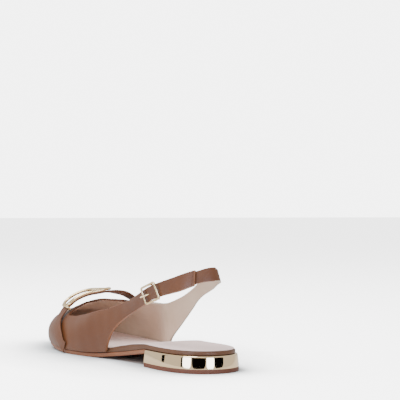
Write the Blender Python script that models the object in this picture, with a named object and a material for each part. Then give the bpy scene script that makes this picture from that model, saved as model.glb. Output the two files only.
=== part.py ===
"""Flat slingback sandal, left shoe: almond toe, cut-out sides, buckled sling and a metal-cased heel.

Metres, +X to the toe, +Y to the outer (lateral) side, +Z up from the floor. Along the shoe, x is
counted from the back of the heel seat; the root empty then moves the shoe so that the origin lies
on the floor under the middle of the heel. Run with blender --background --python part.py.
"""
import bpy
import bmesh
import numpy as np
from math import cos, sin, pi

# Driving dimensions of the sole
SOLE_LENGTH = 0.265
BALL_WIDTH = 0.0785
HEEL_WIDTH = 0.054
HEEL_BREAST = 0.062
HEEL_REST = 0.031
SEAT_HEIGHT = 0.0125
TOE_SPRING = 0.0105
LIFT_THICK = 0.0032
OUTSOLE_THICK = 0.003
SEAT_BOARD_THICK = 0.0026
SHANK_BOARD_THICK = 0.0042
SOCK_THICK = 0.0006
SOCK_INSET = 0.0009
SEAT_INSET = 0.0011
OUTSOLE_PROUD = 0.0010
HEEL_PROUD = 0.0014
HEEL_LIP_RADIUS = 0.0014
HEEL_TAPER = 0.0008

# Driving dimensions of the upper and its straps
INSTEP_HEIGHT = 0.0955
VAMP_HEIGHT = 0.0410
TOP_HEIGHT = 0.0745
WALL = 0.0018
SIDE_SWELL = 0.0022
FIT_GAP = 0.0003
BOARD_CLEARANCE = 0.0006
THROAT_X = 0.1965
CROWN_OFFSET = -0.004
SPINE_BACK = 0.028
SPINE_FRONT = 0.222
VAMP_STRAP_WIDTH = 0.0092
VAMP_STRAP_THICK = 0.0016
STRAP_SKIVE = 0.6
LINK_WIDTH = 0.0145
LINK_ROD = 0.0012
LINK_START = 0.258
LINK_STOP = 0.505
KEEPER_ROD = 0.0008
KEEPER_SQUARE = 0.35
BUCKLE_X = 0.0555
BUCKLE_LENGTH = 0.0195
BUCKLE_HEIGHT = 0.0123
BUCKLE_ROD = 0.0008
BUCKLE_CORNER = 0.0016
BAR_RADIUS = 0.0007
BAR_BEND = 0.00154
PRONG_RADIUS = 0.0006
BILLET_TRIM = 0.0009
BILLET_FLARE = 0.0090
FLARE_PIVOT = 0.35
FLARE_ANGLE = 149.7

STATIONS = 26
BOARD_STATIONS = 42
RIB_POINTS = 11
TOE_RIBS = 15
BACK_RIBS = 16
STRAP_STEPS = 44
SKIVE_STEPS = 4
CURVE_STEPS = 24
ROD_SIDES = 8


def columns(names, rows):
    """Turns a short table into one array for each named column."""
    values = np.array(rows, float)
    return {name: values[:, i] for i, name in enumerate(names.split())}


# Plan outline of the insole board. The heel rows are shares of the heel width, the others of the
# ball width, and along is a share of the sole length.
HEEL_OUTER = columns("along across", [
    (0.000, 0.000), (0.011, 0.194), (0.042, 0.361), (0.094, 0.463), (0.170, 0.500), (0.283, 0.481)])
FORE_OUTER = columns("along across", [
    (0.396, 0.344), (0.491, 0.395), (0.574, 0.459), (0.649, 0.490), (0.736, 0.478),
    (0.811, 0.430), (0.887, 0.320), (0.943, 0.190), (0.985, 0.070), (1.000, -0.038)])
FORE_INNER = columns("along across", [
    (0.989, -0.108), (0.955, -0.178), (0.898, -0.261), (0.823, -0.369), (0.755, -0.465),
    (0.687, -0.510), (0.626, -0.510), (0.574, -0.471), (0.521, -0.395), (0.460, -0.287),
    (0.396, -0.236)])
HEEL_INNER = columns("along across", [
    (0.321, -0.370), (0.245, -0.435), (0.151, -0.488), (0.083, -0.466), (0.038, -0.378),
    (0.009, -0.215)])

# Underside of the outsole: shank as a share of its rise under the seat, toe of the toe spring
UNDERSIDE = columns("along shank toe", [
    (0.000, 1.000, 0.0), (0.234, 1.000, 0.0), (0.302, 0.768, 0.0), (0.377, 0.474, 0.0),
    (0.453, 0.210, 0.0), (0.528, 0.026, 0.0), (0.562, 0.000, 0.0), (0.649, 0.000, 0.0),
    (0.700, 0.000, 0.05), (0.774, 0.000, 0.20), (0.849, 0.000, 0.43), (0.925, 0.000, 0.72),
    (1.000, 0.000, 1.0)])
# Thickness of the insole board: 0 at its seat value, 1 at its shank value
BOARD = columns("along swell", [
    (0.000, 0.0), (0.210, 0.1), (0.330, 1.0), (0.390, 0.85), (0.460, 0.2), (0.560, 0.0), (1.000, 0.0)])
# The last: crown height as shares of instep and vamp height, and fullness of the rib
LAST = columns("along instep vamp fullness swell", [
    (0.000, 1.00, 0.00, 2.2, 0.0), (0.226, 0.98, 0.00, 2.2, 0.0), (0.340, 0.90, 0.00, 2.1, 0.0),
    (0.453, 0.73, 0.00, 2.0, 0.7), (0.566, 0.59, 0.00, 1.9, 1.0), (0.698, 0.00, 1.10, 1.9, 1.0),
    (0.747, 0.00, 1.00, 2.05, 1.0), (0.811, 0.00, 0.86, 2.35, 0.9), (0.868, 0.00, 0.73, 2.6, 0.7),
    (0.925, 0.00, 0.60, 2.6, 0.6), (1.000, 0.00, 0.50, 2.6, 0.6)])

# Stations along each side of the upper, as shares of the sole length
SIDE_ROW = (0.030, 0.055, 0.085, 0.115, 0.145, 0.175, 0.20, 0.22, 0.24, 0.26, 0.28, 0.30, 0.32, 0.34,
            0.36, 0.38, 0.40, 0.413, 0.425, 0.437, 0.448, 0.456, 0.472, 0.49, 0.51, 0.53, 0.555,
            0.585, 0.62, 0.65, 0.675, 0.695, 0.708, 0.719, 0.728, 0.735, 0.7385)
# Edges of the upper on each side, as shares of its top height. Low rows under the sole's height
# mean that the edge runs on the sole there.
OUTER_EDGES = columns("along low top", [
    (0.000, 0.872, 1.000), (0.026, 0.835, 0.978), (0.068, 0.782, 0.940), (0.128, 0.730, 0.886),
    (0.208, 0.655, 0.818), (0.257, 0.591, 0.765), (0.306, 0.525, 0.697), (0.351, 0.465, 0.637),
    (0.392, 0.390, 0.592), (0.415, 0.325, 0.570), (0.428, 0.270, 0.556), (0.441, 0.180, 0.545),
    (0.450, 0.080, 0.537), (0.457, 0.000, 0.530), (0.517, 0.000, 0.490), (0.600, 0.000, 0.430),
    (0.670, 0.000, 0.398), (0.708, 0.000, 0.394), (0.724, 0.000, 0.425), (0.734, 0.000, 0.480),
    (0.742, 0.000, 0.550), (1.000, 0.000, 0.550)])
INNER_EDGES = columns("along low top", [
    (0.000, 0.872, 1.000), (0.001, 0.871, 0.985), (0.003, 0.870, 0.974), (0.008, 0.868, 0.964),
    (0.018, 0.864, 0.957), (0.068, 0.846, 0.945), (0.140, 0.809, 0.918), (0.174, 0.763, 0.897),
    (0.204, 0.722, 0.868), (0.234, 0.676, 0.822), (0.260, 0.616, 0.768), (0.279, 0.553, 0.729),
    (0.314, 0.440, 0.668), (0.349, 0.333, 0.623), (0.384, 0.242, 0.588), (0.402, 0.195, 0.576),
    (0.410, 0.165, 0.573), (0.418, 0.000, 0.569), (0.475, 0.000, 0.553), (0.560, 0.000, 0.541),
    (0.640, 0.000, 0.540), (0.700, 0.000, 0.543), (0.748, 0.000, 0.550), (1.000, 0.000, 0.550)])
# Vamp strap on the upper's sides: height as a share of the vamp height, stand in walls off it
STRAP_OUTER = columns("along height stand", [
    (0.651, 0.125, -0.3), (0.665, 0.185, 0.05), (0.680, 0.291, 0.3), (0.701, 0.394, 0.4),
    (0.723, 0.498, 0.4), (0.741, 0.602, 0.4)])
STRAP_INNER = columns("along height stand", [
    (0.719, 0.800, 2.6), (0.727, 0.600, 1.2), (0.735, 0.400, 0.4), (0.741, 0.250, 0.1),
    (0.744, 0.140, -0.3)])
# Vamp strap where it bridges the throat, in shares of sole length, ball width and vamp height, with
# the forward lean of its face
STRAP_BRIDGE = columns("along across height lean", [
    (0.749, 0.378, 0.822, 0.00), (0.745, 0.326, 0.925, 0.00), (0.736, 0.254, 1.036, 0.00),
    (0.723, 0.153, 1.117, 0.00), (0.711, 0.051, 1.148, 0.02), (0.704, -0.065, 1.166, 0.14),
    (0.702, -0.163, 1.149, 0.30), (0.706, -0.255, 1.108, 0.36), (0.713, -0.345, 1.020, 0.30)])
# How far the empty sling draws in from the last on its inner side, as a share of the heel width
SLING_DRAW = columns("along draw", [
    (0.000, 0.035), (0.011, 0.110), (0.038, 0.140), (0.094, 0.105), (0.140, 0.040), (0.200, 0.000),
    (1.000, 0.000)])
# How far the empty billet flares from the last, as a share of the full flare
BILLET_SPLAY = columns("along splay", [
    (0.000, 0.0), (0.080, 0.0), (0.170, 0.8), (0.210, 1.0), (0.290, 1.0), (0.330, 0.7),
    (0.390, 0.1), (0.420, 0.0), (1.000, 0.0)])


def smooth(xs, ys, x):
    """Monotone cubic through the rows of a table, so that no row is overshot."""
    xs, ys = np.asarray(xs, float), np.asarray(ys, float)
    step = np.diff(xs)
    slope = np.diff(ys) / step
    tangent = np.zeros(len(xs))
    for i in range(1, len(xs) - 1):
        if slope[i - 1] * slope[i] > 0.0:
            before, after = 2.0 * step[i] + step[i - 1], step[i] + 2.0 * step[i - 1]
            tangent[i] = (before + after) / (before / slope[i - 1] + after / slope[i])
    tangent[0], tangent[-1] = slope[0], slope[-1]
    x = np.clip(np.asarray(x, float), xs[0], xs[-1])
    k = np.clip(np.searchsorted(xs, x, side="right") - 1, 0, len(xs) - 2)
    t = (x - xs[k]) / step[k]
    return ((1 + 2 * t) * (1 - t) ** 2 * ys[k] + t * (1 - t) ** 2 * step[k] * tangent[k]
            + t * t * (3 - 2 * t) * ys[k + 1] + t * t * (t - 1) * step[k] * tangent[k + 1])


def closed_spline(points, shares):
    """Points at shares of the way round a closed cubic spline."""
    points = np.asarray(points, float)
    count = len(points)
    chord = np.linalg.norm(np.roll(points, -1, 0) - points, axis=1)
    along = np.concatenate([[0.0], np.cumsum(chord)])
    system = np.zeros((count, count))
    right = np.zeros((count, points.shape[1]))
    for i in range(count):
        before, after = chord[i - 1], chord[i]
        system[i, i - 1] += before
        system[i, i] += 2 * (before + after)
        system[i, (i + 1) % count] += after
        right[i] = 6 * ((points[(i + 1) % count] - points[i]) / after
                        - (points[i] - points[i - 1]) / before)
    bend = np.linalg.solve(system, right)
    out = []
    for way in np.asarray(shares) * along[-1]:
        i = min(int(np.searchsorted(along, way, side="right")) - 1, count - 1)
        j = (i + 1) % count
        left, passed, span = along[i + 1] - way, way - along[i], chord[i]
        out.append(bend[i] * left ** 3 / (6 * span) + bend[j] * passed ** 3 / (6 * span)
                   + (points[i] / span - bend[i] * span / 6) * left
                   + (points[j] / span - bend[j] * span / 6) * passed)
    return np.array(out)


def outline_rows():
    """Outline points in metres, outer side first, from the back round the toe."""
    rows = []
    for table, width in ((HEEL_OUTER, HEEL_WIDTH), (FORE_OUTER, BALL_WIDTH),
                         (FORE_INNER, BALL_WIDTH), (HEEL_INNER, HEEL_WIDTH)):
        rows += list(zip(table["along"] * SOLE_LENGTH, table["across"] * width))
    return np.array(rows)


FINE = closed_spline(outline_rows(), np.linspace(0.0, 1.0, 1600, endpoint=False))
TIP_INDEX = int(FINE[:, 0].argmax())


def plan_normals(ring):
    """Outward normals of a closed ring that runs clockwise seen from above."""
    ahead = np.roll(ring, -1, 0) - np.roll(ring, 1, 0)
    normals = np.stack([-ahead[:, 1], ahead[:, 0]], axis=1)
    return normals / np.linalg.norm(normals, axis=1)[:, None]


FINE_NORMALS = plan_normals(FINE)


def outline_at(x, outer):
    """Outline point and outward normal at distance x from the heel, on one side."""
    start, stop = (0, TIP_INDEX + 1) if outer else (TIP_INDEX, len(FINE))
    side = FINE[start:stop]
    order = np.argsort(side[:, 0])
    place = [np.interp(x, side[order, 0], column[start:stop][order])
             for column in (FINE[:, 1], FINE_NORMALS[:, 0], FINE_NORMALS[:, 1])]
    normal = np.array(place[1:])
    return np.array([x, place[0]]), normal / np.linalg.norm(normal)


def outsole_under(x):
    """Height of the outsole's underside: flat under the ball, rising to the shank and the toe."""
    along = np.asarray(x) / SOLE_LENGTH
    shank = smooth(UNDERSIDE["along"], UNDERSIDE["shank"], along) * (SEAT_HEIGHT - OUTSOLE_THICK)
    return shank + smooth(UNDERSIDE["along"], UNDERSIDE["toe"], along) * TOE_SPRING


def board_under(x):
    """Underside of the insole board: on the heel seat at the back, on the outsole in front."""
    return outsole_under(x) + OUTSOLE_THICK + FIT_GAP


def board_top(x):
    """Upper face of the insole board."""
    swell = smooth(BOARD["along"], BOARD["swell"], np.asarray(x) / SOLE_LENGTH)
    return board_under(x) + SEAT_BOARD_THICK + (SHANK_BOARD_THICK - SEAT_BOARD_THICK) * swell


def feather_height(x):
    """Height of the upper's lower edge, just clear of the outsole."""
    return outsole_under(x) + OUTSOLE_THICK + 2.0 * FIT_GAP


def crown(x):
    """Crown line that the ribs of the last rise to: place in plan and height."""
    along = np.clip(x, SPINE_BACK, SPINE_FRONT)
    share = along / SOLE_LENGTH
    height = (smooth(LAST["along"], LAST["instep"], share) * INSTEP_HEIGHT
              + smooth(LAST["along"], LAST["vamp"], share) * VAMP_HEIGHT)
    side = CROWN_OFFSET * smooth([0.0, 0.30, 0.62, 1.0], [0.0, 0.0, 1.0, 1.0], share)
    return np.array([along, side]), float(height)


def last_point(place, normal, height):
    """Point on the outside of the lasted upper above one outline point."""
    share = place[0] / SOLE_LENGTH
    top, top_height = crown(place[0])
    foot_height = float(feather_height(place[0]))
    rise = np.clip((height - foot_height) / (top_height - foot_height), 0.0, 1.0)
    full = float(smooth(LAST["along"], LAST["fullness"], share))
    swell = float(smooth(LAST["along"], LAST["swell"], share)) * SIDE_SWELL
    lean = 1.0 - (1.0 - rise ** full) ** (1.0 / full)
    foot = place + normal * (BOARD_CLEARANCE + WALL) * (1.0 - rise)
    plan = foot + (top - foot) * lean + normal * swell * 4.0 * rise * (1.0 - rise)
    return np.array([plan[0], plan[1], foot_height + rise * (top_height - foot_height)])


def edge_height(table, column, x):
    """Height of one edge of the upper, or nothing where it runs on the sole."""
    return float(smooth(table["along"], table[column], x / SOLE_LENGTH)) * TOP_HEIGHT


def splayed(point, x):
    """Outer side of the empty billet: its top edge leans out and back from the last."""
    low, top = (edge_height(OUTER_EDGES, edge, x) for edge in ("low", "top"))
    splay = float(smooth(BILLET_SPLAY["along"], BILLET_SPLAY["splay"], x / SOLE_LENGTH))
    reach = BILLET_FLARE * splay * ((point[2] - low) / (top - low) - FLARE_PIVOT)
    angle = FLARE_ANGLE * pi / 180.0
    return point + reach * np.array([cos(angle), sin(angle), 0.0])


def upper_side(x, height, outer):
    """Point on the upper at distance x along the shoe and a height, on one side."""
    place, normal = outline_at(x, outer)
    point = last_point(place, normal, height)
    return splayed(point, x) if outer else point


def finish_mesh(name, build, material, smooth_angle=35.0):
    """Closes a bmesh, turns its faces outwards and makes it a named object under the root."""
    bmesh.ops.remove_doubles(build, verts=build.verts, dist=1e-6)
    bmesh.ops.dissolve_degenerate(build, edges=build.edges, dist=1e-6)
    bmesh.ops.recalc_face_normals(build, faces=build.faces)
    mesh = bpy.data.meshes.new(name)
    build.to_mesh(mesh)
    build.free()
    mesh.materials.append(material)
    mesh.shade_smooth()
    mesh.set_sharp_from_angle(angle=smooth_angle * pi / 180.0)
    piece = bpy.data.objects.new(name, mesh)
    bpy.context.collection.objects.link(piece)
    piece.parent = ROOT
    return piece


def slab(name, levels, material):
    """Solid between levels, each a pair of side curves that share their stations."""
    build = bmesh.new()
    rows = [[[build.verts.new(point) for point in side] for side in level] for level in levels]
    count = len(rows[0][0])
    for lower, upper in zip(rows, rows[1:]):
        for side in (0, 1):
            for i in range(count - 1):
                build.faces.new((lower[side][i], lower[side][i + 1],
                                 upper[side][i + 1], upper[side][i]))
        for end in (0, count - 1):
            build.faces.new((lower[0][end], lower[1][end], upper[1][end], upper[0][end]))
    for outer, inner in (rows[0], rows[-1]):
        for i in range(count - 1):
            build.faces.new((outer[i], outer[i + 1], inner[i + 1], inner[i]))
    return finish_mesh(name, build, material)


def station_row(start, stop, count):
    """Stations along the shoe, closer together towards both ends."""
    return start + (stop - start) * 0.5 * (1.0 - np.cos(np.linspace(0.0, pi, count)))


def side_curves(stations, offset, height):
    """Both sides of the outline, moved outwards by an offset, at a height for each station."""
    curves = []
    for outer in (True, False):
        points = []
        for x in stations:
            place, normal = outline_at(x, outer)
            shift = offset(x) if callable(offset) else offset
            plan = place + normal * shift
            points.append((plan[0], plan[1], float(height(x))))
        curves.append(points)
    for end in (0, -1):
        if np.linalg.norm(np.subtract(curves[0][end][:2], curves[1][end][:2])) < 0.004:
            middle = tuple(np.mean([curves[0][end], curves[1][end]], axis=0))
            curves[0][end] = curves[1][end] = middle
    return curves


def make_material(name, colour, roughness, metallic=0.0):
    material = bpy.data.materials.new(name)
    material.use_nodes = True
    shader = material.node_tree.nodes["Principled BSDF"]
    shader.inputs["Base Color"].default_value = (*colour, 1.0)
    shader.inputs["Roughness"].default_value = roughness
    shader.inputs["Metallic"].default_value = metallic
    material.diffuse_color = (*colour, 1.0)
    return material


def make_outsole(material):
    """Leather outsole from the heel breast to the toe, with a slightly tucked lower edge."""
    stations = station_row(HEEL_BREAST + 2.0 * FIT_GAP, SOLE_LENGTH, STATIONS)

    def proud(x):
        share = smooth([0.0, 0.40, 0.50, 1.0], [0.0, 0.0, 1.0, 1.0], x / SOLE_LENGTH)
        return OUTSOLE_PROUD * float(share)

    tuck = 0.3 * OUTSOLE_THICK
    return slab("outsole", [
        side_curves(stations, lambda x: proud(x) - tuck, outsole_under),
        side_curves(stations, proud, lambda x: outsole_under(x) + tuck),
        side_curves(stations, proud, lambda x: outsole_under(x) + OUTSOLE_THICK)], material)


def seat_inset(x):
    """Inset of the board from the outline, on the heel casing and in the point of the toe."""
    share = smooth([0.0, 0.20, 0.30, 0.88, 0.96, 1.0], [1.0, 1.0, 0.0, 0.0, 1.0, 1.0], x / SOLE_LENGTH)
    return SEAT_INSET * float(share)


def make_insole_board(material):
    """Leather-wrapped board that the quarters stand beside, with rounded edges."""
    stations = station_row(0.0, SOLE_LENGTH, BOARD_STATIONS)
    edge = 0.25 * SEAT_BOARD_THICK
    return slab("insole_board", [
        side_curves(stations, lambda x: -seat_inset(x) - edge, board_under),
        side_curves(stations, lambda x: -seat_inset(x), lambda x: board_under(x) + edge),
        side_curves(stations, lambda x: -seat_inset(x), lambda x: board_top(x) - edge),
        side_curves(stations, lambda x: -seat_inset(x) - edge, board_top)], material)


def make_sock(material):
    """Thin lining on the board, set back from its edge."""
    stations = station_row(0.0, SOLE_LENGTH, BOARD_STATIONS)
    return slab("insole_sock", [
        side_curves(stations, lambda x: -seat_inset(x) - SOCK_INSET, lambda x: board_top(x) + FIT_GAP),
        side_curves(stations, lambda x: -seat_inset(x) - SOCK_INSET,
                    lambda x: board_top(x) + FIT_GAP + 0.6 * SOCK_THICK),
        side_curves(stations, lambda x: -seat_inset(x) - SOCK_INSET - 0.4 * SOCK_THICK,
                    lambda x: board_top(x) + FIT_GAP + SOCK_THICK)], material)


def make_heel_block(material):
    """Low heel in a metal casing, slightly narrower to its rounded upper lip."""
    stations = station_row(0.0, HEEL_BREAST, STATIONS)
    radius = HEEL_LIP_RADIUS
    levels = [side_curves(stations, HEEL_PROUD, lambda x: LIFT_THICK)]
    for turn in (0.0, 0.5, 1.0):
        angle = turn * pi / 2.0
        levels.append(side_curves(
            stations, HEEL_PROUD - HEEL_TAPER - radius * (1.0 - cos(angle)),
            lambda x, angle=angle: SEAT_HEIGHT - radius * (1.0 - sin(angle))))
    return slab("heel_block", levels, material)


def make_top_lift(material):
    """Wearing layer under the heel, flat on the floor."""
    stations = station_row(0.0, HEEL_BREAST, STATIONS)
    edge = 0.15 * LIFT_THICK
    return slab("top_lift", [
        side_curves(stations, HEEL_PROUD - edge, lambda x: 0.0),
        side_curves(stations, HEEL_PROUD, lambda x: edge),
        side_curves(stations, HEEL_PROUD, lambda x: LIFT_THICK)], material)


def band_station(place, normal, table, inset, trim):
    """One rib of the upper between its lower and upper edge, as a row of points."""
    x = place[0]
    foot = float(feather_height(x))
    low = max(foot, edge_height(table, "low", x) + trim)
    crown_height = crown(x)[1]
    top = min(crown_height, edge_height(table, "top", x) - trim)
    if x >= THROAT_X:
        top = crown_height
    shares = np.linspace(0.0, 1.0, RIB_POINTS)
    eased = [low + (top - low) * share ** 0.9 for share in shares]
    if top == crown_height:
        turn = np.arcsin((low - foot) / (top - foot))
        eased = [foot + (top - foot) * sin(turn + (pi / 2 - turn) * share) for share in shares]
    points = []
    for height in eased:
        point = last_point(place, normal, height)
        if table is OUTER_EDGES:
            point = splayed(point, x)
        point[:2] -= normal * inset
        points.append(point)
    return points


def sling_end():
    """The sling's last rib, cut parallel to the buckle's middle bar."""
    middle, to_back = buckle_axes()[:2]
    low, top = (edge_height(OUTER_EDGES, edge, BUCKLE_X) for edge in ("low", "top"))
    behind = BAR_RADIUS + 3.0 * FIT_GAP
    points = []
    for height in np.linspace(low + BILLET_TRIM, top - BILLET_TRIM, RIB_POINTS):
        x = BUCKLE_X
        for _ in range(8):
            point = upper_side(x, height, True)
            point[:2] -= outline_at(x, True)[1] * (WALL + FIT_GAP)
            x += ((point - middle) @ to_back - behind) / abs(to_back[0])
        points.append(point)
    return points


def sling_draw(x):
    """How far the empty sling draws in at distance x."""
    return float(smooth(SLING_DRAW["along"], SLING_DRAW["draw"], x / SOLE_LENGTH)) * HEEL_WIDTH


def band_places():
    """Outline places from the billet's end round the toe, back along the inside and round the heel
    to the buckle, each with its edge table, its inset and its trim."""
    places = []
    side_x = np.array(SIDE_ROW) * SOLE_LENGTH
    front_x = np.linspace(THROAT_X, SPINE_FRONT, 5)
    for x in np.concatenate([side_x[side_x < THROAT_X], front_x]):
        places.append((*outline_at(x, True), OUTER_EDGES, 0.0, 0.0))
    lateral = int(np.abs(FINE[:TIP_INDEX, 0] - SPINE_FRONT).argmin())
    medial = TIP_INDEX + int(np.abs(FINE[TIP_INDEX:, 0] - SPINE_FRONT).argmin())
    for i in np.linspace(lateral, medial, TOE_RIBS + 2)[1:-1].astype(int):
        places.append((FINE[i], FINE_NORMALS[i], OUTER_EDGES, 0.0, 0.0))
    for x in np.concatenate([front_x[::-1], side_x[side_x < THROAT_X][::-1]]):
        places.append((*outline_at(x, False), INNER_EDGES, sling_draw(x), 0.0))
    first = TIP_INDEX + int(np.abs(FINE[TIP_INDEX:, 0] - side_x[0]).argmin())
    last = len(FINE) + int(np.abs(FINE[:TIP_INDEX, 0] - side_x[0]).argmin())
    under = WALL + FIT_GAP
    for i in np.linspace(first, last, BACK_RIBS + 2)[1:]:
        i = int(round(i)) % len(FINE)
        outer = i < TIP_INDEX
        share = float(smooth([0.0, 0.9, 1.0], [0.0, 1.0, 1.0], FINE[i][0] / side_x[0] if outer else 0.0))
        inset = under * share + (sling_draw(0.0) * (1.0 - share) if outer else sling_draw(FINE[i][0]))
        table = OUTER_EDGES if outer else INNER_EDGES
        places.append((FINE[i], FINE_NORMALS[i], table, inset, BILLET_TRIM * share))
    for x in side_x[(side_x > side_x[0]) & (side_x < BUCKLE_X - 0.006)]:
        places.append((*outline_at(x, True), OUTER_EDGES, under, BILLET_TRIM))
    return places


def make_upper(material):
    """Vamp, quarters, billet and sling in one skin, which the Solidify modifier gives its wall."""
    build = bmesh.new()
    rows = [band_station(*place) for place in band_places()] + [sling_end()]
    ribs = [[build.verts.new(point) for point in row] for row in rows]
    for one, two in zip(ribs, ribs[1:]):
        for k in range(RIB_POINTS - 1):
            build.faces.new((one[k], two[k], two[k + 1], one[k + 1]))
    bmesh.ops.remove_doubles(build, verts=build.verts, dist=1e-5)
    bmesh.ops.dissolve_degenerate(build, edges=build.edges, dist=1e-6)
    outside = [face for face in build.faces if face.calc_center_median().x > 0.15]
    middle = sum((face.normal.z * face.calc_area() for face in outside), 0.0)
    if middle < 0.0:
        bmesh.ops.reverse_faces(build, faces=build.faces)
    mesh = bpy.data.meshes.new("upper")
    build.to_mesh(mesh)
    build.free()
    mesh.materials.append(material)
    mesh.shade_smooth()
    piece = bpy.data.objects.new("upper", mesh)
    bpy.context.collection.objects.link(piece)
    piece.parent = ROOT
    wall = piece.modifiers.new("wall", "SOLIDIFY")
    wall.thickness = WALL
    wall.offset = -1.0
    wall.use_even_offset = False
    return piece


def unit(vector):
    """The vector at length one."""
    return np.asarray(vector, float) / np.linalg.norm(vector)


def open_curve(points, count):
    """Even samples of a Catmull-Rom curve through the points."""
    points = np.asarray(points, float)
    padded = np.vstack([2 * points[0] - points[1], points, 2 * points[-1] - points[-2]])
    fine = []
    for i in range(len(points) - 1):
        a, b, c, d = padded[i:i + 4]
        for t in np.linspace(0.0, 1.0, CURVE_STEPS, endpoint=False):
            fine.append(0.5 * (2 * b + (c - a) * t + (2 * a - 5 * b + 4 * c - d) * t * t
                               + (3 * b - a - 3 * c + d) * t ** 3))
    fine.append(points[-1])
    fine = np.array(fine)
    way = np.concatenate([[0.0], np.cumsum(np.linalg.norm(np.diff(fine, axis=0), axis=1))])
    even = np.linspace(0.0, way[-1], count)
    return np.stack([np.interp(even, way, fine[:, k]) for k in range(points.shape[1])], axis=1)


def surface_normal(x, height, outer):
    """Outward normal of the upper at a place on one side."""
    step = 0.002
    along = upper_side(x + step, height, outer) - upper_side(x - step, height, outer)
    up = upper_side(x, height + step, outer) - upper_side(x, height - step, outer)
    normal = unit(np.cross(up, along))
    return normal if (normal[1] > 0.0) == outer else -normal


def vamp_strap_route():
    """Middle line of the vamp strap with its outward normal, from the outer to the inner side."""
    rows = []
    lift = 0.5 * VAMP_STRAP_THICK + 2.0 * FIT_GAP
    for outer, table in ((True, STRAP_OUTER), (None, STRAP_BRIDGE), (False, STRAP_INNER)):
        for k in range(len(table["along"])):
            x, height = table["along"][k] * SOLE_LENGTH, table["height"][k] * VAMP_HEIGHT
            if outer is None:
                place = np.array([x, table["across"][k] * BALL_WIDTH, height])
                away = np.array([0.0, place[1] - CROWN_OFFSET, place[2] - 0.1 * VAMP_HEIGHT])
                normal = unit(unit(away) + np.array([table["lean"][k], 0.0, 0.0]))
            else:
                normal = surface_normal(x, height, outer)
                place = upper_side(x, height, outer) + normal * (lift + table["stand"][k] * WALL)
            rows.append(np.concatenate([place, normal]))
    route = open_curve(rows, STRAP_STEPS)
    return route[:, :3], route[:, 3:]


def frames(points, normals, closed=False):
    """Tangent, width and normal directions along a line."""
    if closed:
        ahead = np.roll(points, -1, 0) - np.roll(points, 1, 0)
    else:
        ahead = np.gradient(points, axis=0)
    out = []
    for tangent, normal in zip(ahead, normals):
        tangent = unit(tangent)
        width = unit(np.cross(normal, tangent))
        out.append((tangent, width, unit(np.cross(tangent, width))))
    return out


def swept(name, points, normals, section, material, closed=False, skived=0):
    """Solid that carries a section, given as width and height offsets, along a line. Its first and
    last skived rings get thinner to the ends."""
    build = bmesh.new()
    rings = []
    last = len(points) - 1
    for k, (point, (tangent, width, normal)) in enumerate(zip(points, frames(points, normals, closed))):
        thin = 1.0 - STRAP_SKIVE * max(0.0, 1.0 - min(k, last - k) / skived) if skived else 1.0
        rings.append([build.verts.new(point + width * across + normal * up * thin)
                      for across, up in section])
    count = len(section)
    pairs = list(zip(rings, rings[1:]))
    if closed:
        pairs.append((rings[-1], rings[0]))
    for one, two in pairs:
        for k in range(count):
            build.faces.new((one[k], one[(k + 1) % count], two[(k + 1) % count], two[k]))
    if not closed:
        build.faces.new(rings[0])
        build.faces.new(rings[-1])
    return finish_mesh(name, build, material)


def strap_section(width, thick):
    """Rectangle with chamfered corners."""
    w, h, c = width / 2, thick / 2, 0.3 * thick
    return [(-w, -h + c), (-w + c, -h), (w - c, -h), (w, -h + c),
            (w, h - c), (w - c, h), (-w + c, h), (-w, h - c)]


def oval_section(half_width, half_height, sides):
    """Ellipse with a number of sides."""
    turns = np.linspace(0.0, 2.0 * pi, sides, endpoint=False)
    return [(half_width * cos(turn), half_height * sin(turn)) for turn in turns]


def at_route(route, way):
    """Place and directions at a share of the way along the strap's route."""
    points, normals = route
    index = way * (len(points) - 1)
    low = min(int(index), len(points) - 2)
    part = index - low
    axes = frames(points, normals)
    blended = [a * (1 - part) + b * part for a, b in zip(axes[low], axes[low + 1])]
    return points[low] * (1 - part) + points[low + 1] * part, [unit(axis) for axis in blended]


def join_into(piece, others):
    """Unites pieces that overlap into one body, with exact unions."""
    for other in others:
        other.hide_render = True
        other.display_type = "WIRE"
        union = piece.modifiers.new("join_" + other.name, "BOOLEAN")
        union.operation = "UNION"
        union.solver = "EXACT"
        union.object = other


def link_outline(start, stop, rail):
    """Closed outline of the link: way along the strap and offset across it."""
    straight, half_turn = np.linspace(start, stop, 12), np.linspace(0.0, pi, 9)[1:-1]
    return ([(way, rail) for way in straight]
            + [(stop + rail * sin(turn), rail * cos(turn)) for turn in half_turn]
            + [(way, -rail) for way in straight[::-1]]
            + [(start - rail * sin(turn), -rail * cos(turn)) for turn in half_turn])


def make_keeper(route, material):
    """Squarish ring round the strap, at the outer end of the link."""
    place, (tangent, width, normal) = at_route(route, LINK_START)
    half_w = 0.5 * VAMP_STRAP_WIDTH + FIT_GAP + KEEPER_ROD
    half_h = 0.5 * VAMP_STRAP_THICK + FIT_GAP + KEEPER_ROD
    loop = []
    for turn in np.linspace(0.0, 2.0 * pi, 24, endpoint=False):
        across = half_w * np.sign(cos(turn)) * abs(cos(turn)) ** KEEPER_SQUARE
        up = half_h * np.sign(sin(turn)) * abs(sin(turn)) ** KEEPER_SQUARE
        loop.append(place + width * across + normal * up)
    return swept("keeper_form", np.array(loop), np.array([tangent] * len(loop)),
                 oval_section(KEEPER_ROD, KEEPER_ROD * 1.3, ROD_SIDES), material, closed=True)


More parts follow.
